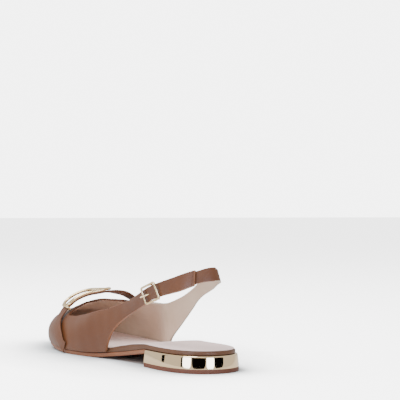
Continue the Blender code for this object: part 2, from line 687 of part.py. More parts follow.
def make_vamp_link(route, material):
    """Long oval link lying on the strap, in one body with its keeper."""
    total = float(np.linalg.norm(np.diff(route[0], axis=0), axis=1).sum())
    rise = 0.5 * VAMP_STRAP_THICK + FIT_GAP + LINK_ROD
    rail = 0.5 * LINK_WIDTH - LINK_ROD
    points, normals = [], []
    for way, across in link_outline(LINK_START * total + rail, LINK_STOP * total - rail, rail):
        place, (_, width, normal) = at_route(route, way / total)
        points.append(place + width * across + normal * rise)
        normals.append(normal)
    link = swept("vamp_link", np.array(points), np.array(normals),
                 oval_section(LINK_ROD * 1.25, LINK_ROD, ROD_SIDES), material, closed=True)
    join_into(link, [make_keeper(route, material)])


def edge_middle(x):
    """Height of the middle of the outer strap at distance x."""
    return 0.5 * (edge_height(OUTER_EDGES, "low", x) + edge_height(OUTER_EDGES, "top", x))


def buckle_axes():
    """Middle of the buckle on the billet's outside, with its axes: back, up and outwards."""
    middle = upper_side(BUCKLE_X, edge_middle(BUCKLE_X), True)
    half = 0.5 * BUCKLE_LENGTH
    front = upper_side(BUCKLE_X + half, edge_middle(BUCKLE_X + half), True)
    back = upper_side(BUCKLE_X - half, edge_middle(BUCKLE_X - half), True)
    to_back = unit(back - front)
    rib = (upper_side(BUCKLE_X, edge_height(OUTER_EDGES, "top", BUCKLE_X), True)
           - upper_side(BUCKLE_X, edge_height(OUTER_EDGES, "low", BUCKLE_X), True))
    out = unit(np.cross(rib, to_back))
    out = out if out[1] > 0.0 else -out
    up = unit(np.cross(out, to_back))
    up = up if up[2] > 0.0 else -up
    return middle, to_back, up, out


def billet_spread(axes):
    """Lowest and highest reach of the billet's outside along the buckle's outward axis, the highest
    all along the frame and the lowest at the middle bar."""
    middle, out = axes[0], axes[3]
    reach = []
    for x in np.linspace(BUCKLE_X - 0.6 * BUCKLE_LENGTH, BUCKLE_X + 0.6 * BUCKLE_LENGTH, 9):
        low, top = (edge_height(OUTER_EDGES, edge, x) for edge in ("low", "top"))
        for height in np.linspace(low, top, 5):
            reach.append(((upper_side(x, height, True) - middle) @ out, abs(x - BUCKLE_X)))
    highest = max(value for value, away in reach)
    lowest = min(value for value, away in reach if away < 0.3 * BUCKLE_LENGTH)
    return lowest, highest


def buckle_rises(axes):
    """Heights of the frame and of the middle bar along the buckle's outward axis."""
    lowest, highest = billet_spread(axes)
    return highest + FIT_GAP + BUCKLE_ROD, lowest - WALL - FIT_GAP - BAR_RADIUS


def placed(axes, offsets):
    """Points of the buckle from their offsets back, up and outwards."""
    middle, to_back, up, out = axes
    return np.array([middle + to_back * back + up * rise + out * away for back, rise, away in offsets])


def make_middle_bar(axes, material):
    """Bar under the billet, whose bent ends run into the frame's long sides."""
    frame_rise, bar_rise = buckle_rises(axes)
    half = 0.5 * BUCKLE_HEIGHT
    leg = [(half, frame_rise + 0.2 * BUCKLE_ROD), (half, 0.5 * (frame_rise + bar_rise)),
           (half, bar_rise + BAR_BEND), (half - 0.3 * BAR_BEND, bar_rise + 0.3 * BAR_BEND),
           (half - BAR_BEND, bar_rise)]
    path = leg + [(0.0, bar_rise)] + [(-side, rise) for side, rise in leg[::-1]]
    points = placed(axes, [(0.0, side, rise) for side, rise in path])
    return swept("middle_bar_form", points, np.array([axes[1]] * len(points)),
                 oval_section(BAR_RADIUS, BAR_RADIUS, ROD_SIDES), material)


def make_buckle_frame(axes, material):
    """Oblong frame on the billet, in one body with its middle bar."""
    rise = buckle_rises(axes)[0]
    back, side = 0.5 * BUCKLE_LENGTH - BUCKLE_CORNER, 0.5 * BUCKLE_HEIGHT - BUCKLE_CORNER
    loop = []
    for quarter, (along, across) in enumerate(((1, 1), (-1, 1), (-1, -1), (1, -1))):
        for turn in np.linspace(0.5 * pi * quarter, 0.5 * pi * (quarter + 1), 5):
            loop.append((along * back + BUCKLE_CORNER * cos(turn),
                         across * side + BUCKLE_CORNER * sin(turn), rise))
    frame = swept("buckle_frame", placed(axes, loop), np.array([axes[3]] * len(loop)),
                  oval_section(BUCKLE_ROD, BUCKLE_ROD, ROD_SIDES), material, closed=True)
    join_into(frame, [make_middle_bar(axes, material)])


def prong_ends(axes):
    """Root of the prong beside the middle bar and its tip on the front of the frame, as offsets."""
    frame_rise, bar_rise = buckle_rises(axes)
    half = 0.5 * BUCKLE_LENGTH
    root_reach = BAR_RADIUS + FIT_GAP + 2.0 * PRONG_RADIUS
    slope = np.arctan2(frame_rise - bar_rise, half - root_reach)
    root = np.array([-root_reach, 0.0, bar_rise])
    rest = np.array([-half, 0.0, frame_rise + (BUCKLE_ROD + FIT_GAP + PRONG_RADIUS) / cos(slope)])
    return root, rest + unit(rest - root) * 1.2 * BUCKLE_ROD


def make_prong(axes, material):
    """Straight pin from the middle bar through the billet to the front of the frame."""
    root, tip = prong_ends(axes)
    pin = placed(axes, [root + (tip - root) * share for share in (0.0, 0.5, 0.9, 1.0)])
    swept("buckle_prong", pin, np.array([axes[3]] * len(pin)),
          oval_section(PRONG_RADIUS, PRONG_RADIUS, ROD_SIDES), material)


def cut_prong_hole(axes, material):
    """Hole in the billet round the prong."""
    root, tip = prong_ends(axes)
    line = placed(axes, [root - unit(tip - root) * PRONG_RADIUS, root + (tip - root) * 0.9])
    cutter = swept("prong_hole_cutter", line, np.array([axes[3]] * len(line)),
                   oval_section(PRONG_RADIUS + FIT_GAP, PRONG_RADIUS + FIT_GAP, ROD_SIDES), material)
    cutter.hide_render = True
    cutter.display_type = "WIRE"
    cut = bpy.data.objects["upper"].modifiers.new("prong_hole", "BOOLEAN")
    cut.operation = "DIFFERENCE"
    cut.solver = "EXACT"
    cut.object = cutter


def make_root():
    """Empties the scene and adds the empty that puts the origin under the heel."""
    for old in list(bpy.data.objects):
        bpy.data.objects.remove(old)
    root = bpy.data.objects.new("root_frame", None)
    bpy.context.collection.objects.link(root)
    root.location = (-HEEL_REST, 0.0, 0.0)
    return root


ROOT = make_root()
LEATHER = make_material("tan_calf_leather", (0.26, 0.125, 0.076), 0.45)
WRAP = make_material("wrapped_edge_leather", (0.25, 0.12, 0.072), 0.5)
SOLE_LEATHER = make_material("natural_sole_leather", (0.38, 0.2, 0.13), 0.55)
SOCK = make_material("blush_sock_leather", (0.68, 0.61, 0.59), 0.6)
LIFT = make_material("brown_lift_rubber", (0.22, 0.09, 0.055), 0.6)
GOLD = make_material("pale_gold_plating", (0.72, 0.6, 0.42), 0.12, 1.0)

make_outsole(SOLE_LEATHER)
make_insole_board(WRAP)
make_sock(SOCK)
make_heel_block(GOLD)
make_top_lift(LIFT)
make_upper(LEATHER)
STRAP_ROUTE = vamp_strap_route()
swept("vamp_strap", *STRAP_ROUTE, strap_section(VAMP_STRAP_WIDTH, VAMP_STRAP_THICK), LEATHER,
      skived=SKIVE_STEPS)
make_vamp_link(STRAP_ROUTE, GOLD)
BUCKLE_AXES = buckle_axes()
make_buckle_frame(BUCKLE_AXES, GOLD)
make_prong(BUCKLE_AXES, GOLD)
cut_prong_hole(BUCKLE_AXES, GOLD)
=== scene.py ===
"""Look of the slingback sandal, left shoe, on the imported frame.

Metres, +X to the toe, +Y to the outer side, +Z up. The fine skins are drawn over the same named
sizes and tables as the solids they stand for. Colours are sRGB hex values read as eyes see them.
"""
import bpy
import bmesh
import numpy as np
from math import cos, sin, pi, radians
from mathutils import Matrix, Vector


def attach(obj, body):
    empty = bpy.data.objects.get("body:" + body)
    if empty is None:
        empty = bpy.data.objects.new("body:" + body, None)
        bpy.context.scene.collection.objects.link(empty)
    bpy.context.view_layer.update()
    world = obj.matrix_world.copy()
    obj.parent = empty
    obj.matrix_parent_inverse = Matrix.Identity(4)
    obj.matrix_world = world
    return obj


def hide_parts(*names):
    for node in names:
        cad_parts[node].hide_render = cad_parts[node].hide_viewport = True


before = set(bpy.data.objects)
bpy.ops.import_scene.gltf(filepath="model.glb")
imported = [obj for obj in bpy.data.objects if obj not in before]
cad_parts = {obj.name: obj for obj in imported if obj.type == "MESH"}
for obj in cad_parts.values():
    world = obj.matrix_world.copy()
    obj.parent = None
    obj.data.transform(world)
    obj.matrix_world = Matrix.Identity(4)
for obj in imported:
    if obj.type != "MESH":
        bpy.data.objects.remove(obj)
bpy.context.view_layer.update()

# Driving dimensions of the sole
SOLE_LENGTH = 0.265
BALL_WIDTH = 0.0785
HEEL_WIDTH = 0.054
HEEL_BREAST = 0.062
HEEL_REST = 0.031
SEAT_HEIGHT = 0.0125
TOE_SPRING = 0.0105
LIFT_THICK = 0.0032
OUTSOLE_THICK = 0.003
SEAT_BOARD_THICK = 0.0026
SHANK_BOARD_THICK = 0.0042
SOCK_THICK = 0.0006
SOCK_INSET = 0.0009
SEAT_INSET = 0.0011
OUTSOLE_PROUD = 0.0010
HEEL_PROUD = 0.0014
HEEL_LIP_RADIUS = 0.0014
HEEL_TAPER = 0.0008

# Driving dimensions of the upper and its straps
INSTEP_HEIGHT = 0.0955
VAMP_HEIGHT = 0.0410
TOP_HEIGHT = 0.0745
WALL = 0.0018
SIDE_SWELL = 0.0022
FIT_GAP = 0.0003
BOARD_CLEARANCE = 0.0006
THROAT_X = 0.1965
CROWN_OFFSET = -0.004
SPINE_BACK = 0.028
SPINE_FRONT = 0.222
VAMP_STRAP_WIDTH = 0.0092
VAMP_STRAP_THICK = 0.0016
STRAP_SKIVE = 0.6
LINK_WIDTH = 0.0145
LINK_ROD = 0.0012
LINK_START = 0.258
LINK_STOP = 0.505
KEEPER_ROD = 0.0008
KEEPER_SQUARE = 0.35
BUCKLE_X = 0.0555
BUCKLE_LENGTH = 0.0195
BUCKLE_HEIGHT = 0.0123
BUCKLE_ROD = 0.0008
BUCKLE_CORNER = 0.0016
BAR_RADIUS = 0.0007
BAR_BEND = 0.00154
PRONG_RADIUS = 0.0006
BILLET_TRIM = 0.0009
BILLET_FLARE = 0.0090
FLARE_PIVOT = 0.35
FLARE_ANGLE = 149.7

# Resolution of the fine skins: counts of points, ribs and sides
OUTLINE_POINTS = 1600
STATIONS = 150
BOARD_STATIONS = 190
EDGE_STEPS = 4
CASING_STEPS = 8
LIP_STEPS = 7
SIDE_REFINE = 4
RIB_POINTS = 24
FRONT_RIBS = 5
TOE_RIBS = 46
BACK_RIBS = 48
END_RIBS = 4
STRAP_STEPS = 120
STRAP_EDGE_STEPS = 5
SKIVE_STEPS = 12
CURVE_STEPS = 24
LINK_STEPS = 40
LINK_TURN_STEPS = 25
KEEPER_STEPS = 72
CORNER_STEPS = 12
BAR_BEND_STEPS = 10
PIN_STEPS = 12
ROD_SIDES = 20
THIN_ROD_SIDES = 16

# Sizes that only the look needs. FOLD_FROM is in the row frame, VAMP_FROM from the heel's back.
VAMP_FROM = 0.15
CLOSE_ENDS = 0.004
NORMAL_STEP = 0.002
FOLD = 0.0009
FOLD_FROM = 0.125
RIM_BAND = 0.00022
RIM_RADIUS = 0.0005
RIM_ANGLE = 55.0
SHARP_ANGLE = 35.0
METAL_SHARP_ANGLE = 50.0
STRAP_SHARP_ANGLE = 60.0
LIFT_GAP = 0.00005
LINK_FLAT = 1.25
KEEPER_FLAT = 1.3
STITCH_LENGTH = 0.0019
STITCH_STEP = 0.0026
STITCH_THICK = 0.00042
STITCH_INSET = 0.0018
STITCH_END = 0.0012
STITCH_STAND = 0.35
STITCH_LINE_POINTS = 12
WAVE = 0.0001
WAVE_FADE = 0.004

# Camera that was fitted to the photo: angles in degrees, distances in metres, focal length in mm
CAMERA_AROUND = 30.28
CAMERA_PITCH = -0.618
CAMERA_LENS = 114.0
CAMERA_AWAY = 0.9171
CAMERA_SIDE = 0.00113
CAMERA_RISE = 0.12247
CAMERA_CENTRE = (-0.001, 0.0, 0.0)

# Studio
WORLD_STRENGTH = 1.25
BACKDROP_STRENGTH = 6.5
FLOOR_GAIN = 3.5
FLOOR_REACH = 30.0
FLOOR_COLOUR = (0.85, 0.85, 0.85, 1.0)
# Painted contact shadow on the floor, for the camera only: its bluish colour, its reach and the
# power of its falloff
FLOOR_SHADE_COLOUR = (0.736, 0.8, 0.832, 1.0)
FLOOR_SHADE_REACH = 0.09
FLOOR_SHADE_POWER = 6.0
KEY_PLACE = (0.3, 0.7, 1.6)
KEY_AIM = (0.10, 0.0, 0.03)
KEY_SIZE = 0.9
KEY_POWER = 24.0
FILL_PLACE = (-1.0, 1.0, 0.8)
FILL_AIM = (0.08, 0.0, 0.03)
FILL_SIZE = 1.0
FILL_POWER = 4.0
CARD_STRENGTH = 10.0
DARK_CARD_STRENGTH = 0.004
CARD_AWAY = 1.5
CARD_HEIGHT = 0.6
CARD_LOW = 0.005
CARD_CORNER = 0.22
CARD_CORNER_STEPS = 7
CARD_COLOUR = (0.82, 1.0, 1.35, 1.0)
# Cards round the heel that its mirror shows, as start and stop angles from +X in degrees
REFLECTED = ((39.6, 44.5, "black"), (79.2, 84.1, "black"), (84.1, 110.0, "white"),
             (110.0, 158.9, "black"), (158.9, 183.1, "white"), (183.1, 214.9, "black"))


def columns(names, rows):
    """Turns a short table into one array for each named column."""
    values = np.array(rows, float)
    return {name: values[:, i] for i, name in enumerate(names.split())}


# Plan outline of the insole board. The heel rows are shares of the heel width, the others of the
# ball width, and along is a share of the sole length.
HEEL_OUTER = columns("along across", [
    (0.000, 0.000), (0.011, 0.194), (0.042, 0.361), (0.094, 0.463), (0.170, 0.500), (0.283, 0.481)])
FORE_OUTER = columns("along across", [
    (0.396, 0.344), (0.491, 0.395), (0.574, 0.459), (0.649, 0.490), (0.736, 0.478),
    (0.811, 0.430), (0.887, 0.320), (0.943, 0.190), (0.985, 0.070), (1.000, -0.038)])
FORE_INNER = columns("along across", [
    (0.989, -0.108), (0.955, -0.178), (0.898, -0.261), (0.823, -0.369), (0.755, -0.465),
    (0.687, -0.510), (0.626, -0.510), (0.574, -0.471), (0.521, -0.395), (0.460, -0.287),
    (0.396, -0.236)])
HEEL_INNER = columns("along across", [
    (0.321, -0.370), (0.245, -0.435), (0.151, -0.488), (0.083, -0.466), (0.038, -0.378),
    (0.009, -0.215)])

# Underside of the outsole: shank as a share of its rise under the seat, toe of the toe spring
UNDERSIDE = columns("along shank toe", [
    (0.000, 1.000, 0.0), (0.234, 1.000, 0.0), (0.302, 0.768, 0.0), (0.377, 0.474, 0.0),
    (0.453, 0.210, 0.0), (0.528, 0.026, 0.0), (0.562, 0.000, 0.0), (0.649, 0.000, 0.0),
    (0.700, 0.000, 0.05), (0.774, 0.000, 0.20), (0.849, 0.000, 0.43), (0.925, 0.000, 0.72),
    (1.000, 0.000, 1.0)])
# Thickness of the insole board: swell 0 is its seat value, 1 its shank value
BOARD = columns("along swell", [
    (0.000, 0.0), (0.210, 0.1), (0.330, 1.0), (0.390, 0.85), (0.460, 0.2), (0.560, 0.0),
    (1.000, 0.0)])
# The last: crown height as shares of instep and vamp height, and fullness of the rib
LAST = columns("along instep vamp fullness swell", [
    (0.000, 1.00, 0.00, 2.2, 0.0), (0.226, 0.98, 0.00, 2.2, 0.0), (0.340, 0.90, 0.00, 2.1, 0.0),
    (0.453, 0.73, 0.00, 2.0, 0.7), (0.566, 0.59, 0.00, 1.9, 1.0), (0.698, 0.00, 1.10, 1.9, 1.0),
    (0.747, 0.00, 1.00, 2.05, 1.0), (0.811, 0.00, 0.86, 2.35, 0.9), (0.868, 0.00, 0.73, 2.6, 0.7),
    (0.925, 0.00, 0.60, 2.6, 0.6), (1.000, 0.00, 0.50, 2.6, 0.6)])

# Stations along each side of the upper, as shares of the sole length, with more between them
SIDE_ROW = (0.030, 0.055, 0.085, 0.115, 0.145, 0.175, 0.20, 0.22, 0.24, 0.26, 0.28, 0.30, 0.32,
            0.34, 0.36, 0.38, 0.40, 0.413, 0.425, 0.437, 0.448, 0.456, 0.472, 0.49, 0.51, 0.53,
            0.555, 0.585, 0.62, 0.65, 0.675, 0.695, 0.708, 0.719, 0.728, 0.735, 0.7385)
# Edges of the upper on each side, as shares of its top height. Low rows under the sole's height
# mean that the edge runs on the sole there.
OUTER_EDGES = columns("along low top", [
    (0.000, 0.872, 1.000), (0.026, 0.835, 0.978), (0.068, 0.782, 0.940), (0.128, 0.730, 0.886),
    (0.208, 0.655, 0.818), (0.257, 0.591, 0.765), (0.306, 0.525, 0.697), (0.351, 0.465, 0.637),
    (0.392, 0.390, 0.592), (0.415, 0.325, 0.570), (0.428, 0.270, 0.556), (0.441, 0.180, 0.545),
    (0.450, 0.080, 0.537), (0.457, 0.000, 0.530), (0.517, 0.000, 0.490), (0.600, 0.000, 0.430),
    (0.670, 0.000, 0.398), (0.708, 0.000, 0.394), (0.724, 0.000, 0.425), (0.734, 0.000, 0.480),
    (0.742, 0.000, 0.550), (1.000, 0.000, 0.550)])
INNER_EDGES = columns("along low top", [
    (0.000, 0.872, 1.000), (0.001, 0.871, 0.985), (0.003, 0.870, 0.974), (0.008, 0.868, 0.964),
    (0.018, 0.864, 0.957), (0.068, 0.846, 0.945), (0.140, 0.809, 0.918), (0.174, 0.763, 0.897),
    (0.204, 0.722, 0.868), (0.234, 0.676, 0.822), (0.260, 0.616, 0.768), (0.279, 0.553, 0.729),
    (0.314, 0.440, 0.668), (0.349, 0.333, 0.623), (0.384, 0.242, 0.588), (0.402, 0.195, 0.576),
    (0.410, 0.165, 0.573), (0.418, 0.000, 0.569), (0.475, 0.000, 0.553), (0.560, 0.000, 0.541),
    (0.640, 0.000, 0.540), (0.700, 0.000, 0.543), (0.748, 0.000, 0.550), (1.000, 0.000, 0.550)])
# Vamp strap on the upper's sides: height as a share of the vamp height, stand in walls off it
STRAP_OUTER = columns("along height stand", [
    (0.651, 0.125, -0.3), (0.665, 0.185, 0.05), (0.680, 0.291, 0.3), (0.701, 0.394, 0.4),
    (0.723, 0.498, 0.4), (0.741, 0.602, 0.4)])
STRAP_INNER = columns("along height stand", [
    (0.719, 0.800, 2.6), (0.727, 0.600, 1.2), (0.735, 0.400, 0.4), (0.741, 0.250, 0.1),
    (0.744, 0.140, -0.3)])
# Vamp strap where it bridges the throat, in shares of sole length, ball width and vamp height, with
# the forward lean of its face
STRAP_BRIDGE = columns("along across height lean", [
    (0.749, 0.378, 0.822, 0.00), (0.745, 0.326, 0.925, 0.00), (0.736, 0.254, 1.036, 0.00),
    (0.723, 0.153, 1.117, 0.00), (0.711, 0.051, 1.148, 0.02), (0.704, -0.065, 1.166, 0.14),
    (0.702, -0.163, 1.149, 0.30), (0.706, -0.255, 1.108, 0.36), (0.713, -0.345, 1.020, 0.30)])
# How far the empty sling draws in from the last on its inner side, as a share of the heel width
SLING_DRAW = columns("along draw", [
    (0.000, 0.035), (0.011, 0.110), (0.038, 0.140), (0.094, 0.105), (0.140, 0.040), (0.200, 0.000),
    (1.000, 0.000)])
# How far the empty billet flares from the last, as a share of the full flare
BILLET_SPLAY = columns("along splay", [
    (0.000, 0.0), (0.080, 0.0), (0.170, 0.8), (0.210, 1.0), (0.290, 1.0), (0.330, 0.7),
    (0.390, 0.1), (0.420, 0.0), (1.000, 0.0)])


def smooth(xs, ys, x):
    """Monotone cubic through the rows of a table, so that no row is overshot."""
    xs, ys = np.asarray(xs, float), np.asarray(ys, float)
    step = np.diff(xs)
    slope = np.diff(ys) / step
    tangent = np.zeros(len(xs))
    for i in range(1, len(xs) - 1):
        if slope[i - 1] * slope[i] > 0.0:
            before, after = 2.0 * step[i] + step[i - 1], step[i] + 2.0 * step[i - 1]
            tangent[i] = (before + after) / (before / slope[i - 1] + after / slope[i])
    tangent[0], tangent[-1] = slope[0], slope[-1]
    x = np.clip(np.asarray(x, float), xs[0], xs[-1])
    k = np.clip(np.searchsorted(xs, x, side="right") - 1, 0, len(xs) - 2)
    t = (x - xs[k]) / step[k]
    return ((1 + 2 * t) * (1 - t) ** 2 * ys[k] + t * (1 - t) ** 2 * step[k] * tangent[k]
            + t * t * (3 - 2 * t) * ys[k + 1] + t * t * (t - 1) * step[k] * tangent[k + 1])


def read(table, column, x):
    """Value in a column of a table at distance x from the back of the heel."""
    return smooth(table["along"], table[column], np.asarray(x) / SOLE_LENGTH)


def refine(values, times):
    """Adds evenly spaced values between the given ones."""
    values = np.asarray(values)
    steps = np.arange(0, len(values) - 1, 1.0 / times)
    return np.append(np.interp(steps, np.arange(len(values)), values), values[-1])


def closed_spline(points, shares):
    """Points at shares of the way round a closed cubic spline."""
    points = np.asarray(points, float)
    count = len(points)
    chord = np.linalg.norm(np.roll(points, -1, 0) - points, axis=1)
    along = np.concatenate([[0.0], np.cumsum(chord)])
    system = np.zeros((count, count))
    right = np.zeros((count, points.shape[1]))
    for i in range(count):
        before, after = chord[i - 1], chord[i]
        system[i, i - 1] += before
        system[i, i] += 2 * (before + after)
        system[i, (i + 1) % count] += after
        right[i] = 6 * ((points[(i + 1) % count] - points[i]) / after
                        - (points[i] - points[i - 1]) / before)
    bend = np.linalg.solve(system, right)
    out = []
    for way in np.asarray(shares) * along[-1]:
        i = min(int(np.searchsorted(along, way, side="right")) - 1, count - 1)
        j = (i + 1) % count
        left, passed, span = along[i + 1] - way, way - along[i], chord[i]
        out.append(bend[i] * left ** 3 / (6 * span) + bend[j] * passed ** 3 / (6 * span)
                   + (points[i] / span - bend[i] * span / 6) * left
                   + (points[j] / span - bend[j] * span / 6) * passed)
    return np.array(out)


def outline_rows():
    """Outline points in metres, outer side first, from the back round the toe."""
    rows = []
    for table, width in ((HEEL_OUTER, HEEL_WIDTH), (FORE_OUTER, BALL_WIDTH),
                         (FORE_INNER, BALL_WIDTH), (HEEL_INNER, HEEL_WIDTH)):
        rows += list(zip(table["along"] * SOLE_LENGTH, table["across"] * width))
    return np.array(rows)


FINE = closed_spline(outline_rows(), np.linspace(0.0, 1.0, OUTLINE_POINTS, endpoint=False))
TIP_INDEX = int(FINE[:, 0].argmax())


def plan_normals(ring):
    """Outward normals of a closed ring that runs clockwise seen from above."""
    ahead = np.roll(ring, -1, 0) - np.roll(ring, 1, 0)
    normals = np.stack([-ahead[:, 1], ahead[:, 0]], axis=1)
    return normals / np.linalg.norm(normals, axis=1)[:, None]


FINE_NORMALS = plan_normals(FINE)


def outline_at(x, outer):
    """Outline point and outward normal at distance x from the heel, on one side."""
    start, stop = (0, TIP_INDEX + 1) if outer else (TIP_INDEX, len(FINE))
    side = FINE[start:stop]
    order = np.argsort(side[:, 0])
    place = [np.interp(x, side[order, 0], column[start:stop][order])
             for column in (FINE[:, 1], FINE_NORMALS[:, 0], FINE_NORMALS[:, 1])]
    normal = np.array(place[1:])
    return np.array([x, place[0]]), normal / np.linalg.norm(normal)


def outsole_under(x):
    """Height of the outsole's underside: flat under the ball, rising to the shank and the toe."""
    shank = read(UNDERSIDE, "shank", x) * (SEAT_HEIGHT - OUTSOLE_THICK)
    return shank + read(UNDERSIDE, "toe", x) * TOE_SPRING


def board_under(x):
    """Underside of the insole board: on the heel seat at the back, on the outsole in front."""
    return outsole_under(x) + OUTSOLE_THICK + FIT_GAP


def board_top(x):
    """Upper face of the insole board."""
    swell = (SHANK_BOARD_THICK - SEAT_BOARD_THICK) * read(BOARD, "swell", x)
    return board_under(x) + SEAT_BOARD_THICK + swell


def feather_height(x):
    """Height of the upper's lower edge, just clear of the outsole."""
    return outsole_under(x) + OUTSOLE_THICK + 2.0 * FIT_GAP


def crown(x):
    """Crown line that the ribs of the last rise to: place in plan and height."""
    along = np.clip(x, SPINE_BACK, SPINE_FRONT)
    height = read(LAST, "instep", along) * INSTEP_HEIGHT + read(LAST, "vamp", along) * VAMP_HEIGHT
    side = CROWN_OFFSET * smooth([0.0, 0.30, 0.62, 1.0], [0.0, 0.0, 1.0, 1.0], along / SOLE_LENGTH)
    return np.array([along, side]), float(height)


def last_point(place, normal, height):
    """Point on the outside of the lasted upper above one outline point."""
    top, top_height = crown(place[0])
    foot_height = float(feather_height(place[0]))
    rise = np.clip((height - foot_height) / (top_height - foot_height), 0.0, 1.0)
    full = float(read(LAST, "fullness", place[0]))
    swell = float(read(LAST, "swell", place[0])) * SIDE_SWELL
    lean = 1.0 - (1.0 - rise ** full) ** (1.0 / full)
    foot = place + normal * (BOARD_CLEARANCE + WALL) * (1.0 - rise)
    plan = foot + (top - foot) * lean + normal * swell * 4.0 * rise * (1.0 - rise)
    return np.array([plan[0], plan[1], foot_height + rise * (top_height - foot_height)])


def edge_height(table, column, x):
    """Height of one edge of the upper. Where it is under the sole, the edge runs on the sole."""
    return float(read(table, column, x)) * TOP_HEIGHT


def billet_edges(x):
    """Heights of the lower and the upper edge on the outer side, where the billet is."""
    return edge_height(OUTER_EDGES, "low", x), edge_height(OUTER_EDGES, "top", x)


def splayed(point, x):
    """Outer side of the empty billet: its top edge leans out and back from the last."""
    low, top = billet_edges(x)
    splay = float(read(BILLET_SPLAY, "splay", x))
    reach = BILLET_FLARE * splay * ((point[2] - low) / (top - low) - FLARE_PIVOT)
    angle = radians(FLARE_ANGLE)
    return point + reach * np.array([cos(angle), sin(angle), 0.0])


def upper_side(x, height, outer):
    """Point on the upper at distance x along the shoe and a height, on one side."""
    place, normal = outline_at(x, outer)
    point = last_point(place, normal, height)
    return splayed(point, x) if outer else point


def station_row(start, stop, count):
    """Stations along the shoe, closer together towards both ends."""
    return start + (stop - start) * 0.5 * (1.0 - np.cos(np.linspace(0.0, pi, count)))


def side_curves(stations, offset, height):
    """Both sides of the outline, moved outwards by an offset, at a height for each station. Ends
    that come close meet in one point."""
    curves = []
    for outer in (True, False):
        points = []
        for x in stations:
            place, normal = outline_at(x, outer)
            shift = offset(x) if callable(offset) else offset
            plan = place + normal * shift
            points.append((plan[0], plan[1], float(height(x))))
        curves.append(points)
    for end in (0, -1):
        apart = np.linalg.norm(np.subtract(curves[0][end][:2], curves[1][end][:2]))
        if apart < CLOSE_ENDS:
            middle = tuple(np.mean([curves[0][end], curves[1][end]], axis=0))
            curves[0][end] = curves[1][end] = middle
    return curves


def seat_inset(x):
    """Inset of the board from the outline, on the heel casing and in the point of the toe."""
    share = smooth([0.0, 0.20, 0.30, 0.88, 0.96, 1.0], [1.0, 1.0, 0.0, 0.0, 1.0, 1.0],
                   x / SOLE_LENGTH)
    return SEAT_INSET * float(share)


def band_station(place, normal, table, inset, trim):
    """One rib of the upper between its lower and upper edge, as a row of points."""
    x = place[0]
    foot = float(feather_height(x))
    low = max(foot, edge_height(table, "low", x) + trim)
    crown_height = crown(x)[1]
    top = min(crown_height, edge_height(table, "top", x) - trim)
    if x >= THROAT_X:
        top = crown_height
    shares = np.linspace(0.0, 1.0, RIB_POINTS)
    eased = [low + (top - low) * share ** 0.9 for share in shares]
    if top == crown_height:
        turn = np.arcsin((low - foot) / (top - foot))
        eased = [foot + (top - foot) * sin(turn + (pi / 2 - turn) * share) for share in shares]
    points = []
    for height in eased:
        point = last_point(place, normal, height)
        if table is OUTER_EDGES:
            point = splayed(point, x)
        point[:2] -= normal * inset
        points.append(point)
    return points


def sling_end():
    """The sling's last rib, cut parallel to the buckle's middle bar."""
    middle, to_back = buckle_axes()[:2]
    low, top = billet_edges(BUCKLE_X)
    behind = BAR_RADIUS + 3.0 * FIT_GAP
    points = []
    for height in np.linspace(low + BILLET_TRIM, top - BILLET_TRIM, RIB_POINTS):
        x = BUCKLE_X
        for _ in range(8):
            point = upper_side(x, height, True)
            point[:2] -= outline_at(x, True)[1] * (WALL + FIT_GAP)
            x += ((point - middle) @ to_back - behind) / abs(to_back[0])
        points.append(point)
    return points


def sling_draw(x):
    """How far the empty sling draws in at distance x."""
    return float(read(SLING_DRAW, "draw", x)) * HEEL_WIDTH


def band_places():
    """Outline places from the billet's end round the toe, back along the inside and round the heel
    to the buckle, each with its edge table, its inset and its trim."""
    places = []
    side_x = refine(SIDE_ROW, SIDE_REFINE) * SOLE_LENGTH
    front_x = np.linspace(THROAT_X, SPINE_FRONT, FRONT_RIBS)
    for x in np.concatenate([side_x[side_x < THROAT_X], front_x]):
        places.append((*outline_at(x, True), OUTER_EDGES, 0.0, 0.0))
    lateral = int(np.abs(FINE[:TIP_INDEX, 0] - SPINE_FRONT).argmin())
    medial = TIP_INDEX + int(np.abs(FINE[TIP_INDEX:, 0] - SPINE_FRONT).argmin())
    for i in np.linspace(lateral, medial, TOE_RIBS + 2)[1:-1].astype(int):
        places.append((FINE[i], FINE_NORMALS[i], OUTER_EDGES, 0.0, 0.0))
    for x in np.concatenate([front_x[::-1], side_x[side_x < THROAT_X][::-1]]):
        places.append((*outline_at(x, False), INNER_EDGES, sling_draw(x), 0.0))
    first = TIP_INDEX + int(np.abs(FINE[TIP_INDEX:, 0] - side_x[0]).argmin())
    last = len(FINE) + int(np.abs(FINE[:TIP_INDEX, 0] - side_x[0]).argmin())
    under = WALL + FIT_GAP
    for i in np.linspace(first, last, BACK_RIBS + 2)[1:]:
        i = int(round(i)) % len(FINE)
        outer = i < TIP_INDEX
        back = FINE[i][0] / side_x[0] if outer else 0.0
        share = float(smooth([0.0, 0.9, 1.0], [0.0, 1.0, 1.0], back))
        drawn = sling_draw(0.0) * (1.0 - share) if outer else sling_draw(FINE[i][0])
        inset = under * share + drawn
        table = OUTER_EDGES if outer else INNER_EDGES
        places.append((FINE[i], FINE_NORMALS[i], table, inset, BILLET_TRIM * share))
    for x in side_x[(side_x > side_x[0]) & (side_x < BUCKLE_X - 0.006)]:
        places.append((*outline_at(x, True), OUTER_EDGES, under, BILLET_TRIM))
    return places


def unit(vector):
    """The vector at length one."""
    return np.asarray(vector, float) / np.linalg.norm(vector)


